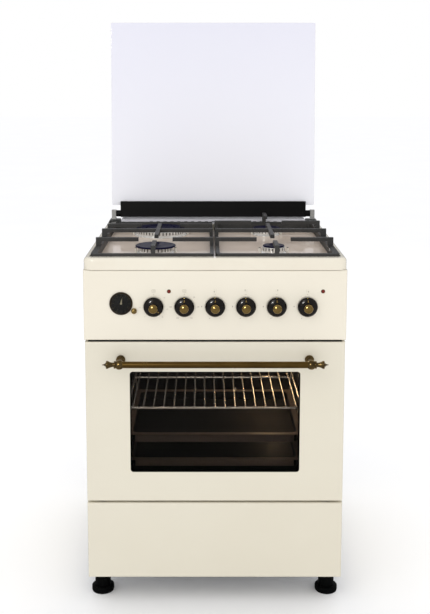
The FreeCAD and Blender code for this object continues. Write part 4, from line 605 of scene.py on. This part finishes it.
nodeFinishes = {
    "side_panel_left": "casingPaint", "side_panel_right": "casingPaint", "back_panel": "zincSheet",
    "casing_screws": "platedSteel", "terminal_cover": "blackPlasticAndShade", "base_frame": "zincSheet",
    "levelling_feet": "blackPlasticAndShade", "drawer_shelf": "zincSheet", "control_panel": "panelEnamelPaintedLight",
    "hob_top": "hobEnamel", "rear_vent_strip": "ventPaint", "oven_cavity": "ovenEnamel",
    "oven_insulation": "woolMat", "door_seal": "sealSilicone", "rack_guides": "chromeWire",
    "heating_elements": "elementSteel", "oven_lamp": "lampGlass", "door_hinge_receivers": "platedSteel",
    "drawer_runners": "zincSheet", "burner_crowns": "burnerAlloy", "igniters": "igniterCeramic",
    "lid_hinge_posts": "postSteel", "oven_switches": "blackPlasticAndShade", "gas_taps": "brassPart",
    "timer_case": "timerCase", "pilot_lamps": "pilotRed", "gas_pipework": "pipeAluminium",
    "door_outer_panel": "creamEnamel", "door_outer_glass": "ovenGlass", "door_inner_glass": "ovenGlass",
    "door_liner": "ovenEnamel", "door_hinge_arms": "platedSteel", "handle_bar": "agedBronze",
    "handle_ends": "darkBronze", "drawer_front": "creamEnamel", "drawer_box": "zincSheet",
    "lid_glass": "lidGlass", "lid_rail": "railBlackAndShade", "wire_rack": "chromeWire",
    "baking_tray": "bakingTray", "deep_tray": "deepTray", "pan_support_left": "castIron",
    "pan_support_right": "castIron", "burner_cap_front_left": "capEnamel",
    "burner_cap_rear_left": "capEnamel", "burner_cap_rear_right": "capEnamel",
    "burner_cap_front_right": "capEnamel", "hour_hand": "handGold", "minute_hand": "handGold",
    "timer_crown": "domeBrass",
}
for number in range(1, 7):
    nodeFinishes[f"knob_{number}"] = "knobBody"
for number in range(1, 5):
    nodeFinishes[f"tap_spindle_{number}"] = "platedSteel"
for nodeName, nodeObject in cadNodes.items():
    nodeObject.data.materials.clear()
    nodeObject.data.materials.append(finishes[nodeFinishes[nodeName]])
print("solids: every one has its finish")


# making the detailed pieces
def placePiece(name, shape, body, finishNames, replaced=(), angle=35):
    mesh = bpy.data.meshes.new(name)
    shape.to_mesh(mesh)
    shape.free()
    mesh.validate()
    piece = bpy.data.objects.new(name, mesh)
    for finishName in finishNames:
        mesh.materials.append(finishes[finishName])
    mesh.shade_smooth()
    mesh.set_sharp_from_angle(angle=math.radians(angle))
    scene.collection.objects.link(piece)
    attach(piece, body)
    if replaced:
        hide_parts(*replaced)
    return piece


# turns a profile of (radius, height) round an axis that points up or to the front, in millimetres
def addTurned(shape, profile, centre, towards="up", segments=64, wave=None, closed=False):
    rings = []
    for row, (radius, height) in enumerate(profile):
        count = 1 if radius == 0 else segments
        ring = []
        for step in range(count):
            angle = 2 * math.pi * step / segments
            reach = radius + (wave(row, step) if wave and radius else 0)
            across, around = reach * math.cos(angle), reach * math.sin(angle)
            local = Vector((across, around, height)) if towards == "up" else Vector((across, -height, around))
            ring.append(shape.verts.new(centre + local / 1000))
        rings.append(ring)
    if closed:
        rings.append(rings[0])
    made = []
    for lower, upper in zip(rings, rings[1:]):
        for step in range(segments):
            after = (step + 1) % segments
            corners = [lower[step % len(lower)], lower[after % len(lower)],
                       upper[after % len(upper)], upper[step % len(upper)]]
            corners = list(dict.fromkeys(corners))
            if len(corners) > 2:
                made.append(shape.faces.new(corners))
    bmesh.ops.recalc_face_normals(shape, faces=made)
    return made


# a tube through points, thick as its radii say, in millimetres
def addTube(shape, points, radii, sides=12):
    rings = []
    for index, (point, radius) in enumerate(zip(points, radii)):
        ahead = points[min(index + 1, len(points) - 1)] - points[max(index - 1, 0)]
        turn = ahead.to_track_quat("Z", "Y")
        rings.append([shape.verts.new(point + turn @ Vector((
            radius * math.cos(2 * math.pi * k / sides), radius * math.sin(2 * math.pi * k / sides), 0)) / 1000)
            for k in range(sides)])
    made = [shape.faces.new(rings[0]), shape.faces.new(rings[-1])]
    for lower, upper in zip(rings, rings[1:]):
        for k in range(sides):
            made.append(shape.faces.new([lower[k], lower[(k + 1) % sides], upper[(k + 1) % sides], upper[k]]))
    bmesh.ops.recalc_face_normals(shape, faces=made)


# a flat printed or stamped shape on a vertical face, its corners given as places on that face
def addOutline(shape, corners, lift, thickness):
    out = Vector((0, -lift / 1000, 0))
    back = [shape.verts.new(corner + out) for corner in corners]
    front = [shape.verts.new(corner + out - Vector((0, thickness / 1000, 0))) for corner in corners]
    made = [shape.faces.new(back), shape.faces.new(front)]
    for k in range(len(corners)):
        after = (k + 1) % len(corners)
        made.append(shape.faces.new([back[k], back[after], front[after], front[k]]))
    bmesh.ops.recalc_face_normals(shape, faces=made)


# an upright rectangle round a place on a vertical face, its sides in millimetres from that place
def addPlate(shape, place, sides, lift, thickness):
    left, low, right, high = sides
    addOutline(shape, [place + Vector((x, 0, z)) / 1000 for x, z in
                       ((left, low), (right, low), (right, high), (left, high))], lift, thickness)


# plain numbers standing on a vertical face
def addDigits(shape, text, size, centre, lift, thickness):
    curve = bpy.data.curves.new("digits", "FONT")
    curve.body = text
    curve.size = size / 1000
    curve.align_x, curve.align_y = "CENTER", "CENTER"
    curve.extrude = thickness / 2000
    curve.resolution_u = 4
    holder = bpy.data.objects.new("digits", curve)
    scene.collection.objects.link(holder)
    mesh = bpy.data.meshes.new_from_object(holder.evaluated_get(bpy.context.evaluated_depsgraph_get()))
    mesh.transform(Matrix.Translation(centre - Vector((0, (lift + thickness / 2) / 1000, 0)))
                   @ Matrix.Rotation(math.pi / 2, 4, "X"))
    shape.from_mesh(mesh)
    bpy.data.objects.remove(holder)
    bpy.data.meshes.remove(mesh)


# the direction that a clock's hand has at so many degrees, on the front
def clockHand(degrees):
    return Vector((math.sin(math.radians(degrees)), 0, math.cos(math.radians(degrees))))


# the corners of a small disc on a vertical face
def ringCorners(centre, radius, count=20):
    return [centre + clockHand(360 * k / count) * radius / 1000 for k in range(count)]


# burners
burnerLook = {"frontDepth": 140.0, "rearDepth": 412.0, "offset": 142.0, "floor": 818.0, "crownTop": 833.0,
              "capBase": 833.3, "capHeight": 4.0, "slotDepth": 2.0, "slotFoot": 825.0}
burnerSizes = {
    "front_left": {"side": -1, "depth": "frontDepth", "crown": 42.0, "cap": 48.5, "ports": 30},
    "rear_left": {"side": -1, "depth": "rearDepth", "crown": 67.0, "cap": 65.0, "ports": 46},
    "rear_right": {"side": 1, "depth": "rearDepth", "crown": 33.0, "cap": 36.0, "ports": 24},
    "front_right": {"side": 1, "depth": "frontDepth", "crown": 28.0, "cap": 26.0, "ports": 20},
}
crownShape = bmesh.new()
for burnerName, size in burnerSizes.items():
    centre = spot(size["side"] * burnerLook["offset"], burnerLook[size["depth"]], 0)
    crown, ports = size["crown"], size["ports"]
    cupped = crown * 0.8
    foot, low, top = burnerLook["floor"], burnerLook["slotFoot"], burnerLook["crownTop"]
    profile = [(cupped, foot - 0.6), (cupped, foot), (crown + 3, foot), (crown + 3, foot + 1.4),
               (crown + 2.5, foot + 2), (crown + 1.2, foot + 2.2), (crown - 0.6, foot + 3.6), (crown - 0.4, low),
               (crown - 0.4, low + 0.2), (crown - 0.4, top - 1.2), (crown - 0.4, top - 1.0),
               (crown - 0.6, top), (cupped * 0.5, top), (0, top)]

    # six steps make one port, and one of them is sunk
    def portWave(row, step):
        return -burnerLook["slotDepth"] if row in (8, 9) and step % 6 == 3 else 0.0
    made = addTurned(crownShape, profile, centre, segments=ports * 6, wave=portWave)
    for face in made:
        middle = face.calc_center_median()
        away = math.hypot(middle.x - centre.x, middle.y - centre.y) * 1000
        if low + 0.1 < middle.z * 1000 < top - 1.05 and away < crown - 0.7:
            face.material_index = 1
placePiece("burnerCrowns", crownShape, "cooker", ["burnerAlloy", "darkPortsAndRecessShade"],
           ["burner_crowns"])

capBodies = {"front_left": "front left cap", "rear_left": "rear left cap",
             "rear_right": "rear right cap", "front_right": "front right cap"}
for burnerName, size in burnerSizes.items():
    cap, high = size["cap"], burnerLook["capHeight"]
    profile = [(0, 0), (cap - 1.6, 0), (cap - 0.5, 0.3), (cap, 1.1), (cap - 0.1, 2.0), (cap - 0.6, 3.0),
               (cap - 1.8, 3.75), (cap - 3.4, high), (cap - 5.0, 3.95)]
    if burnerName == "rear_left":  # the big burner's cap is a ring round a small cap
        profile += [(cap - 22, 3.8), (cap - 24.5, 3.4), (cap - 25.5, 1.2), (cap - 29.5, 1.2), (cap - 30.5, 3.4),
                    (cap - 32, 3.9), (cap - 34, high)]
    profile += [(cap * 0.42, 3.75), (cap * 0.38, 3.55), (cap * 0.30, 3.5), (cap * 0.26, 3.7), (0, 3.75)]
    capShape = bmesh.new()
    addTurned(capShape, profile, spot(size["side"] * burnerLook["offset"], burnerLook[size["depth"]],
                                      burnerLook["capBase"]), segments=96)
    label = "burnerCap" + burnerName.title().replace("_", "")
    placePiece(label, capShape, capBodies[burnerName], ["capEnamel"],
               [f"burner_cap_{burnerName}"], angle=40)
print("burners: ported crowns and caps")


# control panel: knobs, marks, lamps
knobLook = {"firstX": -140.0, "pitch": 70.0, "height": 719.0, "backDepth": -5.0, "skirt": 22.5, "dome": 10.2,
            "domeFoot": 21.3, "domeRise": 5.7, "pointerTurns": (132.0, 0.0, 0.0, 0.0, 0.0, 0.0), "bezelRadius": 25.5,
            "rim": [(-2.2, 2.7), (-1.6, 3.4), (-0.9, 3.6), (-0.3, 3.2), (-0.1, 2.6), (-1.2, 2.4)],
            "eyelet": {"radius": 19.9, "height": 4.6, "ring": 1.55, "wire": 0.62},
            "arm": [(18.6, 4.4, 0.9), (17.0, 6.0, 1.0), (15.6, 8.6, 1.1), (14.4, 11.2, 1.2), (13.2, 12.3, 1.0)],
            "bead": {"radius": 13.6, "height": 12.0, "size": 1.9}}
knobBodies = ["oven selector knob", "thermostat knob", "tap knob 1", "tap knob 2", "tap knob 3", "tap knob 4"]
bezelShape = bmesh.new()
for index, bodyName in enumerate(knobBodies):
    knobX = knobLook["firstX"] + index * knobLook["pitch"]
    back = spot(knobX, knobLook["backDepth"], knobLook["height"])
    skirt = knobLook["skirt"]
    trimShape = bmesh.new()
    # a rolled rim on the skirt and a polished shell over the dome
    addTurned(trimShape, [(skirt + radius, height) for radius, height in knobLook["rim"]], back, "front", 72,
              closed=True)
    rimFaces = len(trimShape.faces)
    shell = [(knobLook["dome"] * math.cos(math.radians(a)), knobLook["domeFoot"] + knobLook["domeRise"]
              * math.sin(math.radians(a))) for a in range(0, 90, 9)]
    addTurned(trimShape, [(9.2, 20.7), (9.9, 20.7)] + shell + [(0, knobLook["domeFoot"] + knobLook["domeRise"])],
              back, "front", 48)
    # the pointer: an eyelet on the skirt, an arm up the ring and a bead by the dome
    turn = knobLook["pointerTurns"][index]
    outwards, sideways = clockHand(turn), clockHand(turn + 90)

    def onKnob(radius, height, aside=0.0):
        return back + (outwards * radius + sideways * aside - Vector((0, height, 0))) / 1000
    eyelet, bead = knobLook["eyelet"], knobLook["bead"]
    round16 = [2 * math.pi * k / 16 for k in range(17)]
    addTube(trimShape, [onKnob(eyelet["radius"] + eyelet["ring"] * math.cos(a), eyelet["height"],
                               eyelet["ring"] * math.sin(a)) for a in round16], [eyelet["wire"]] * 17, 8)
    addTube(trimShape, [onKnob(radius, height) for radius, height, thick in knobLook["arm"]],
            [thick for radius, height, thick in knobLook["arm"]])
    beadTurns = (-1.4, -0.9, -0.3, 0.3, 0.9, 1.4)
    addTube(trimShape, [onKnob(bead["radius"], bead["height"] + bead["size"] * math.sin(a)) for a in beadTurns],
            [bead["size"] * math.cos(a) for a in beadTurns])
    for face in list(trimShape.faces)[:rimFaces]:
        face.material_index = 1
    label = f"knobTrim{index + 1}"
    placePiece(label, trimShape, bodyName, ["domeBrass", "knobBronze"])
    # a pushed knob's back comes to 1 mm from the panel, so the middle is thinner
    addTurned(bezelShape, [(knobLook["bezelRadius"], 0), (knobLook["bezelRadius"], 0.9),
                           (knobLook["bezelRadius"] - 0.6, 1.4), (knobLook["bezelRadius"] - 1.9, 1.4),
                           (knobLook["bezelRadius"] - 2.3, 0.6), (13.0, 0.6), (13.0, 0)],
              spot(knobX, 0, knobLook["height"]), "front", 80, closed=True)
placePiece("knobBezels", bezelShape, "cooker", ["panelEnamelPaintedLight"])

# printed marks on the panel
markLook = {"ink": 0.06, "lift": 0.03, "digit": 4.2, "ringRadius": 30.5, "signHeight": 36.0}
markShape = bmesh.new()


def knobPoint(index, degrees, radius):
    centre = spot(knobLook["firstX"] + index * knobLook["pitch"], 0, knobLook["height"])
    return centre + clockHand(degrees) * radius / 1000


def addMark(corners):
    addOutline(markShape, corners, markLook["lift"], markLook["ink"])


def addBar(place, sides):
    addPlate(markShape, place, sides, markLook["lift"], markLook["ink"])


# the thermostat counts in degrees, clockwise
for number, degrees in (("50", 46), ("100", 92), ("150", 150), ("200", 210), ("250", 268)):
    addDigits(markShape, number, markLook["digit"], knobPoint(1, degrees, markLook["ringRadius"] + 0.6),
              markLook["lift"], markLook["ink"])
# the selector has a small sign for each heat: lines above, below or both
for degrees, above, below in ((52, True, False), (100, False, True), (140, True, True), (220, False, False),
                              (264, True, False)):
    middle = knobPoint(0, degrees, markLook["ringRadius"] + 0.8)
    for lineHeight, shown in ((1.7, above), (-1.7, below), (0.0, True)):
        if shown:
            half = 2.0 if lineHeight else 1.0
            addBar(middle, (-half, lineHeight - 0.25, half, lineHeight + 0.25))
# the taps: a dot for off, a large flame at the left and a small one below
for index in range(2, 6):
    for degrees, tall in ((270, 4.2), (205, 2.8)):
        middle = knobPoint(index, degrees, markLook["ringRadius"])
        flame = [(0, 1.0), (0.34, 0.45), (0.5, -0.05), (0.42, -0.5), (0.2, -0.8), (-0.2, -0.8), (-0.42, -0.5),
                 (-0.5, -0.05), (-0.3, 0.3)]
        addMark([middle + Vector((x, 0, z)) * tall / 2000 for x, z in flame])
    addMark(ringCorners(knobPoint(index, 0, 28.2), 0.8))
    # which burner: four dots, one of them large
    sign = knobPoint(index, 0, markLook["signHeight"])
    chosen = ((-1, -1), (-1, 1), (1, 1), (1, -1))[index - 2]
    for across in (-1, 1):
        for up in (-1, 1):
            dot = sign + Vector((across * 2.0, 0, up * 2.0)) / 1000
            addMark(ringCorners(dot, 1.35 if (across, up) == chosen else 0.6))
# an oven sign over the first two knobs
for index in (0, 1):
    sign = knobPoint(index, 0, markLook["signHeight"])
    for sides in ((-4, -3.2, 4, -2.7), (-4, 2.7, 4, 3.2), (-4, -2.7, -3.5, 2.7), (3.5, -2.7, 4, 2.7),
                  (-2.4, -1.7, 2.4, -1.3), (-2.4, 1.0, 2.4, 1.4)):
        addBar(sign, sides)
    addMark(ringCorners(knobPoint(index, 0, 28.2), 0.8))
placePiece("panelMarks", markShape, "cooker", ["printInk"])

# thin rims round the pilot lamps
lampShape = bmesh.new()
lampLook = {"places": (-105.0, 245.0), "height": 754.0, "lens": 3.5}
for lampX in lampLook["places"]:
    lens = lampLook["lens"]
    addTurned(lampShape, [(lens + 0.1, 0), (lens + 0.1, 0.9), (lens + 0.5, 1.1), (lens + 1.0, 0.7),
                          (lens + 1.1, 0)], spot(lampX, 0, lampLook["height"]), "front", 40, closed=True)
placePiece("pilotRims", lampShape, "cooker", ["darkBronze"])

# timer face: sixty minute ticks, hour bars and numbers, under a thin glass
dialCentre = spot(timerLook["dialX"], 0, timerLook["dialHeight"])
dialPrint = {"lift": 0.62, "ink": 0.05, "digit": 3.8, "tickOuter": 22.4, "tickInner": 21.3, "hourInner": 20.0,
             "numberRadius": 17.1}
dialShape = bmesh.new()
for minute in range(60):
    outwards, sideways = clockHand(minute * 6), clockHand(minute * 6 + 90)
    inner = dialPrint["hourInner"] if minute % 5 == 0 else dialPrint["tickInner"]
    half = 0.32 if minute % 5 == 0 else 0.14
    addOutline(dialShape, [dialCentre + (outwards * radius + sideways * aside) / 1000 for radius, aside in
                           ((inner, -half), (inner, half), (dialPrint["tickOuter"], half),
                            (dialPrint["tickOuter"], -half))], dialPrint["lift"], dialPrint["ink"])
for hour in range(1, 13):
    addDigits(dialShape, str(hour), dialPrint["digit"],
              dialCentre + clockHand(hour * 30) * dialPrint["numberRadius"] / 1000,
              dialPrint["lift"], dialPrint["ink"])
placePiece("dialMarks", dialShape, "cooker", ["dialInk"])
glassShape = bmesh.new()
addTurned(glassShape, [(0, 2.55), (23.4, 2.55), (23.4, 2.85), (15, 2.95), (0, 3.0)], dialCentre, "front", 64)
placePiece("dialCover", glassShape, "cooker", ["dialGlass"])
print("panel: knob trim, marks, lamps and timer face")


# two screws in the oven's back wall
screwLook = {"places": ((-50.0, 375.0), (61.0, 375.0)), "wallDepth": 449.6, "radius": 4.6}
screwShape = bmesh.new()
for screwX, screwHeight in screwLook["places"]:
    head = screwLook["radius"]
    addTurned(screwShape, [(head, 0), (head, 0.9), (head - 0.9, 2.0), (head - 2.4, 2.6), (1.4, 2.7), (1.2, 1.6),
                           (0, 1.6)], spot(screwX, screwLook["wallDepth"], screwHeight), "front", 32)
placePiece("ovenScrews", screwShape, "cooker", ["chromeWire"])

# pressed louvres in the back panel; each black mouth is the louvre's opening and, below it, a painted shadow under
# the lip
louvreLook = {"columns": (-150.0, 0.0, 150.0), "lowest": 500.0, "rows": 8, "pitch": 17.0, "half": 48.0,
              "reach": 3.4, "tall": 8.0, "panelDepth": 561.2}
louvreShape = bmesh.new()
for louvreX in louvreLook["columns"]:
    for row in range(louvreLook["rows"]):
        base = spot(louvreX, louvreLook["panelDepth"], louvreLook["lowest"] + row * louvreLook["pitch"])
        steps = 6
        ribs = []
        for across in (-1.0, -0.94, -0.85, 0.85, 0.94, 1.0):
            swell = 0.0 if abs(across) == 1.0 else (0.75 if abs(across) > 0.9 else 1.0)
            ribs.append([louvreShape.verts.new(base + Vector((
                across * louvreLook["half"], 0.05 + louvreLook["reach"] * swell * math.cos(math.pi / 2 * k / steps),
                louvreLook["tall"] * math.sin(math.pi / 2 * k / steps) * max(swell, 0.6))) / 1000)
                for k in range(steps + 1)])
        for first, second in zip(ribs, ribs[1:]):
            for k in range(steps):
                louvreShape.faces.new([first[k], second[k], second[k + 1], first[k + 1]])
        # below the hood's lip the black runs on the flat panel as a painted shadow
        mouthAndShadow = [base + Vector((x, 0.15, z)) / 1000 for x, z in
                 ((-louvreLook["half"] * 0.9, -2.6), (louvreLook["half"] * 0.9, -2.6),
                  (louvreLook["half"] * 0.9, 1.6), (-louvreLook["half"] * 0.9, 1.6))]
        face = louvreShape.faces.new([louvreShape.verts.new(corner) for corner in mouthAndShadow])
        face.material_index = 1
bmesh.ops.recalc_face_normals(louvreShape, faces=list(louvreShape.faces))
placePiece("rearLouvres", louvreShape, "cooker", ["zincSheet", "railBlackAndShade"])

# painted shade: a slotted black strip behind the cooling gap between the panel and the door stands in for the shade
# in the gap
gapShadowLook = {"half": 290.0, "depth": 39.2, "thick": 1.0, "low": 629.0, "high": 639.6, "slots": 58}
gapShadowShape = bmesh.new()
gapShadowStep = 2 * gapShadowLook["half"] / gapShadowLook["slots"]
gapShadowPieces = [(-gapShadowLook["half"], gapShadowLook["low"], gapShadowLook["half"], gapShadowLook["low"] + 2.6),
                (-gapShadowLook["half"], gapShadowLook["high"] - 2.0, gapShadowLook["half"], gapShadowLook["high"])]
gapShadowPieces += [(-gapShadowLook["half"] + gapShadowStep * k - 1.6, gapShadowLook["low"] + 2.6,
                  -gapShadowLook["half"] + gapShadowStep * k + 1.6, gapShadowLook["high"] - 2.0)
                 for k in range(1, gapShadowLook["slots"])]
for sides in gapShadowPieces:
    addPlate(gapShadowShape, spot(0, 0, 0), sides, -gapShadowLook["depth"] - gapShadowLook["thick"], gapShadowLook["thick"])
placePiece("coolingGapShadow", gapShadowShape, "cooker", ["railBlackAndShade"])

# painted shade: a ribbed black strip laid on the door's top edge darkens what shows through the cooling gap, standing
# in for the shade there
stripLook = {"half": 291.0, "front": 3.0, "back": 36.5, "low": 636.0, "high": 636.6, "ribs": 6}
stripShape = bmesh.new()
stripStep = (stripLook["back"] - stripLook["front"]) / stripLook["ribs"]
for rib in range(stripLook["ribs"]):
    near = stripLook["front"] + stripStep * rib
    profile = [(near, stripLook["low"] + 0.05), (near, stripLook["high"] - 0.2), (near + 0.8, stripLook["high"]),
               (near + stripStep - 1.6, stripLook["high"]), (near + stripStep - 0.8, stripLook["high"] - 0.3),
               (near + stripStep, stripLook["high"] - 0.3), (near + stripStep, stripLook["low"] + 0.05)]
    rows = [[stripShape.verts.new(spot(x, depth, height)) for depth, height in profile]
            for x in (-stripLook["half"], stripLook["half"])]
    for k in range(len(profile)):
        after = (k + 1) % len(profile)
        stripShape.faces.new([rows[0][k], rows[0][after], rows[1][after], rows[1][k]])
    stripShape.faces.new(rows[0])
    stripShape.faces.new(rows[1])
bmesh.ops.recalc_face_normals(stripShape, faces=list(stripShape.faces))
placePiece("doorTopShadowStrip", stripShape, "door", ["blackPlasticAndShade"])

# painted shade: a dark sheet behind the vent strip's slots stands in for the shade inside them
ventShadowLook = {"half": 255.0, "depth": 528.2, "thick": 0.6, "low": 831.0, "high": 839.2, "ribs": 40}
ventShadowShape = bmesh.new()
ventStep = 2 * ventShadowLook["half"] / ventShadowLook["ribs"]
for rib in range(ventShadowLook["ribs"]):
    left = -ventShadowLook["half"] + ventStep * rib
    for start, end, lift in ((0.0, 0.7, 0.0), (0.7, 1.0, -0.5)):
        addPlate(ventShadowShape, spot(0, 0, 0), (left + start * ventStep, ventShadowLook["low"], left + end * ventStep,
                                            ventShadowLook["high"]),
                 -ventShadowLook["depth"] - ventShadowLook["thick"] + lift, ventShadowLook["thick"])
placePiece("ventSlotShadow", ventShadowShape, "cooker", ["blackPlasticAndShade"])

# painted shade: flat dark crosses on the casing screws' heads stand in for their shaded cross recesses
crossLook = {"across": (-289.0, 289.0), "heights": (100.0, 300.0, 500.0, 700.0), "arms": ((2.2, 0.45), (0.45, 2.2)),
             "proud": 0.1, "thick": 0.06}
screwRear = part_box("casing_screws")[1].y + crossLook["proud"] / 1000
crossShape = bmesh.new()
for screwX in crossLook["across"]:
    for screwHeight in crossLook["heights"]:
        for half, tall in crossLook["arms"]:
            addPlate(crossShape, Vector((screwX / 1000, screwRear, screwHeight / 1000)), (-half, -tall, half, tall),
                     0.0, crossLook["thick"])
placePiece("screwRecessShade", crossShape, "cooker", ["darkPortsAndRecessShade"])

# thread on the gas inlet
threadLook = {"x": 255.0, "height": 719.0, "first": 564.0, "pitch": 1.81, "turns": 10, "radius": 10.35}
threadShape = bmesh.new()
threadPoints = []
for step in range(threadLook["turns"] * 24 + 1):
    angle = 2 * math.pi * step / 24
    threadPoints.append(spot(threadLook["x"] + threadLook["radius"] * math.cos(angle),
                             threadLook["first"] + threadLook["pitch"] * step / 24,
                             threadLook["height"] + threadLook["radius"] * math.sin(angle)))
addTube(threadShape, threadPoints, [0.55] * len(threadPoints), 6)
placePiece("inletThread", threadShape, "cooker", ["brassPart"])

# ribbed rims on the levelling feet
footLook = {"across": 271.0, "depths": (66.0, 534.0), "radius": 26.0, "ribs": 36, "low": 2.0, "high": 12.5}
footShape = bmesh.new()
for footX in (-footLook["across"], footLook["across"]):
    for footDepth in footLook["depths"]:
        radius = footLook["radius"]
        addTurned(footShape, [(radius - 1.5, footLook["low"]), (radius + 0.1, footLook["low"] + 0.6),
                              (radius + 0.1, footLook["high"] - 0.6), (radius - 1.5, footLook["high"])],
                  spot(footX, footDepth, 0), segments=footLook["ribs"] * 4,
                  wave=lambda row, step: 0.7 if row in (1, 2) and step % 4 < 2 else 0.0, closed=True)
placePiece("footRibs", footShape, "cooker", ["blackPlasticAndShade"])
print("oven, casing and feet: small fittings")


# floor
floorMesh = bpy.data.meshes.new("studioFloor")
floorMesh.from_pydata([(-30, -30, 0), (30, -30, 0), (30, 30, 0), (-30, 30, 0)], [], [(0, 1, 2, 3)])
floor = bpy.data.objects.new("studioFloor", floorMesh)
scene.collection.objects.link(floor)
floorMaterial = makeFinish("studioFloorPaint", {
    "colour": studio["floor"], "otherColour": paint(251, 251, 252), "driftScale": 1.5, "roughness": 0.8,
    "specular": 0.0})
floorMesh.materials.append(floorMaterial)
floorTree = floorMaterial.node_tree  # mirrored, the floor is as dim as the room
floorColour = floorTree.nodes["Principled BSDF"].inputs["Base Color"]
floorPath = addNode(floorTree, "LightPath")
floorTree.links.new(addMix(floorTree, floorPath.outputs["Is Glossy Ray"], floorColour.links[0].from_socket,
                           studio["floorMirrored"]), floorColour)
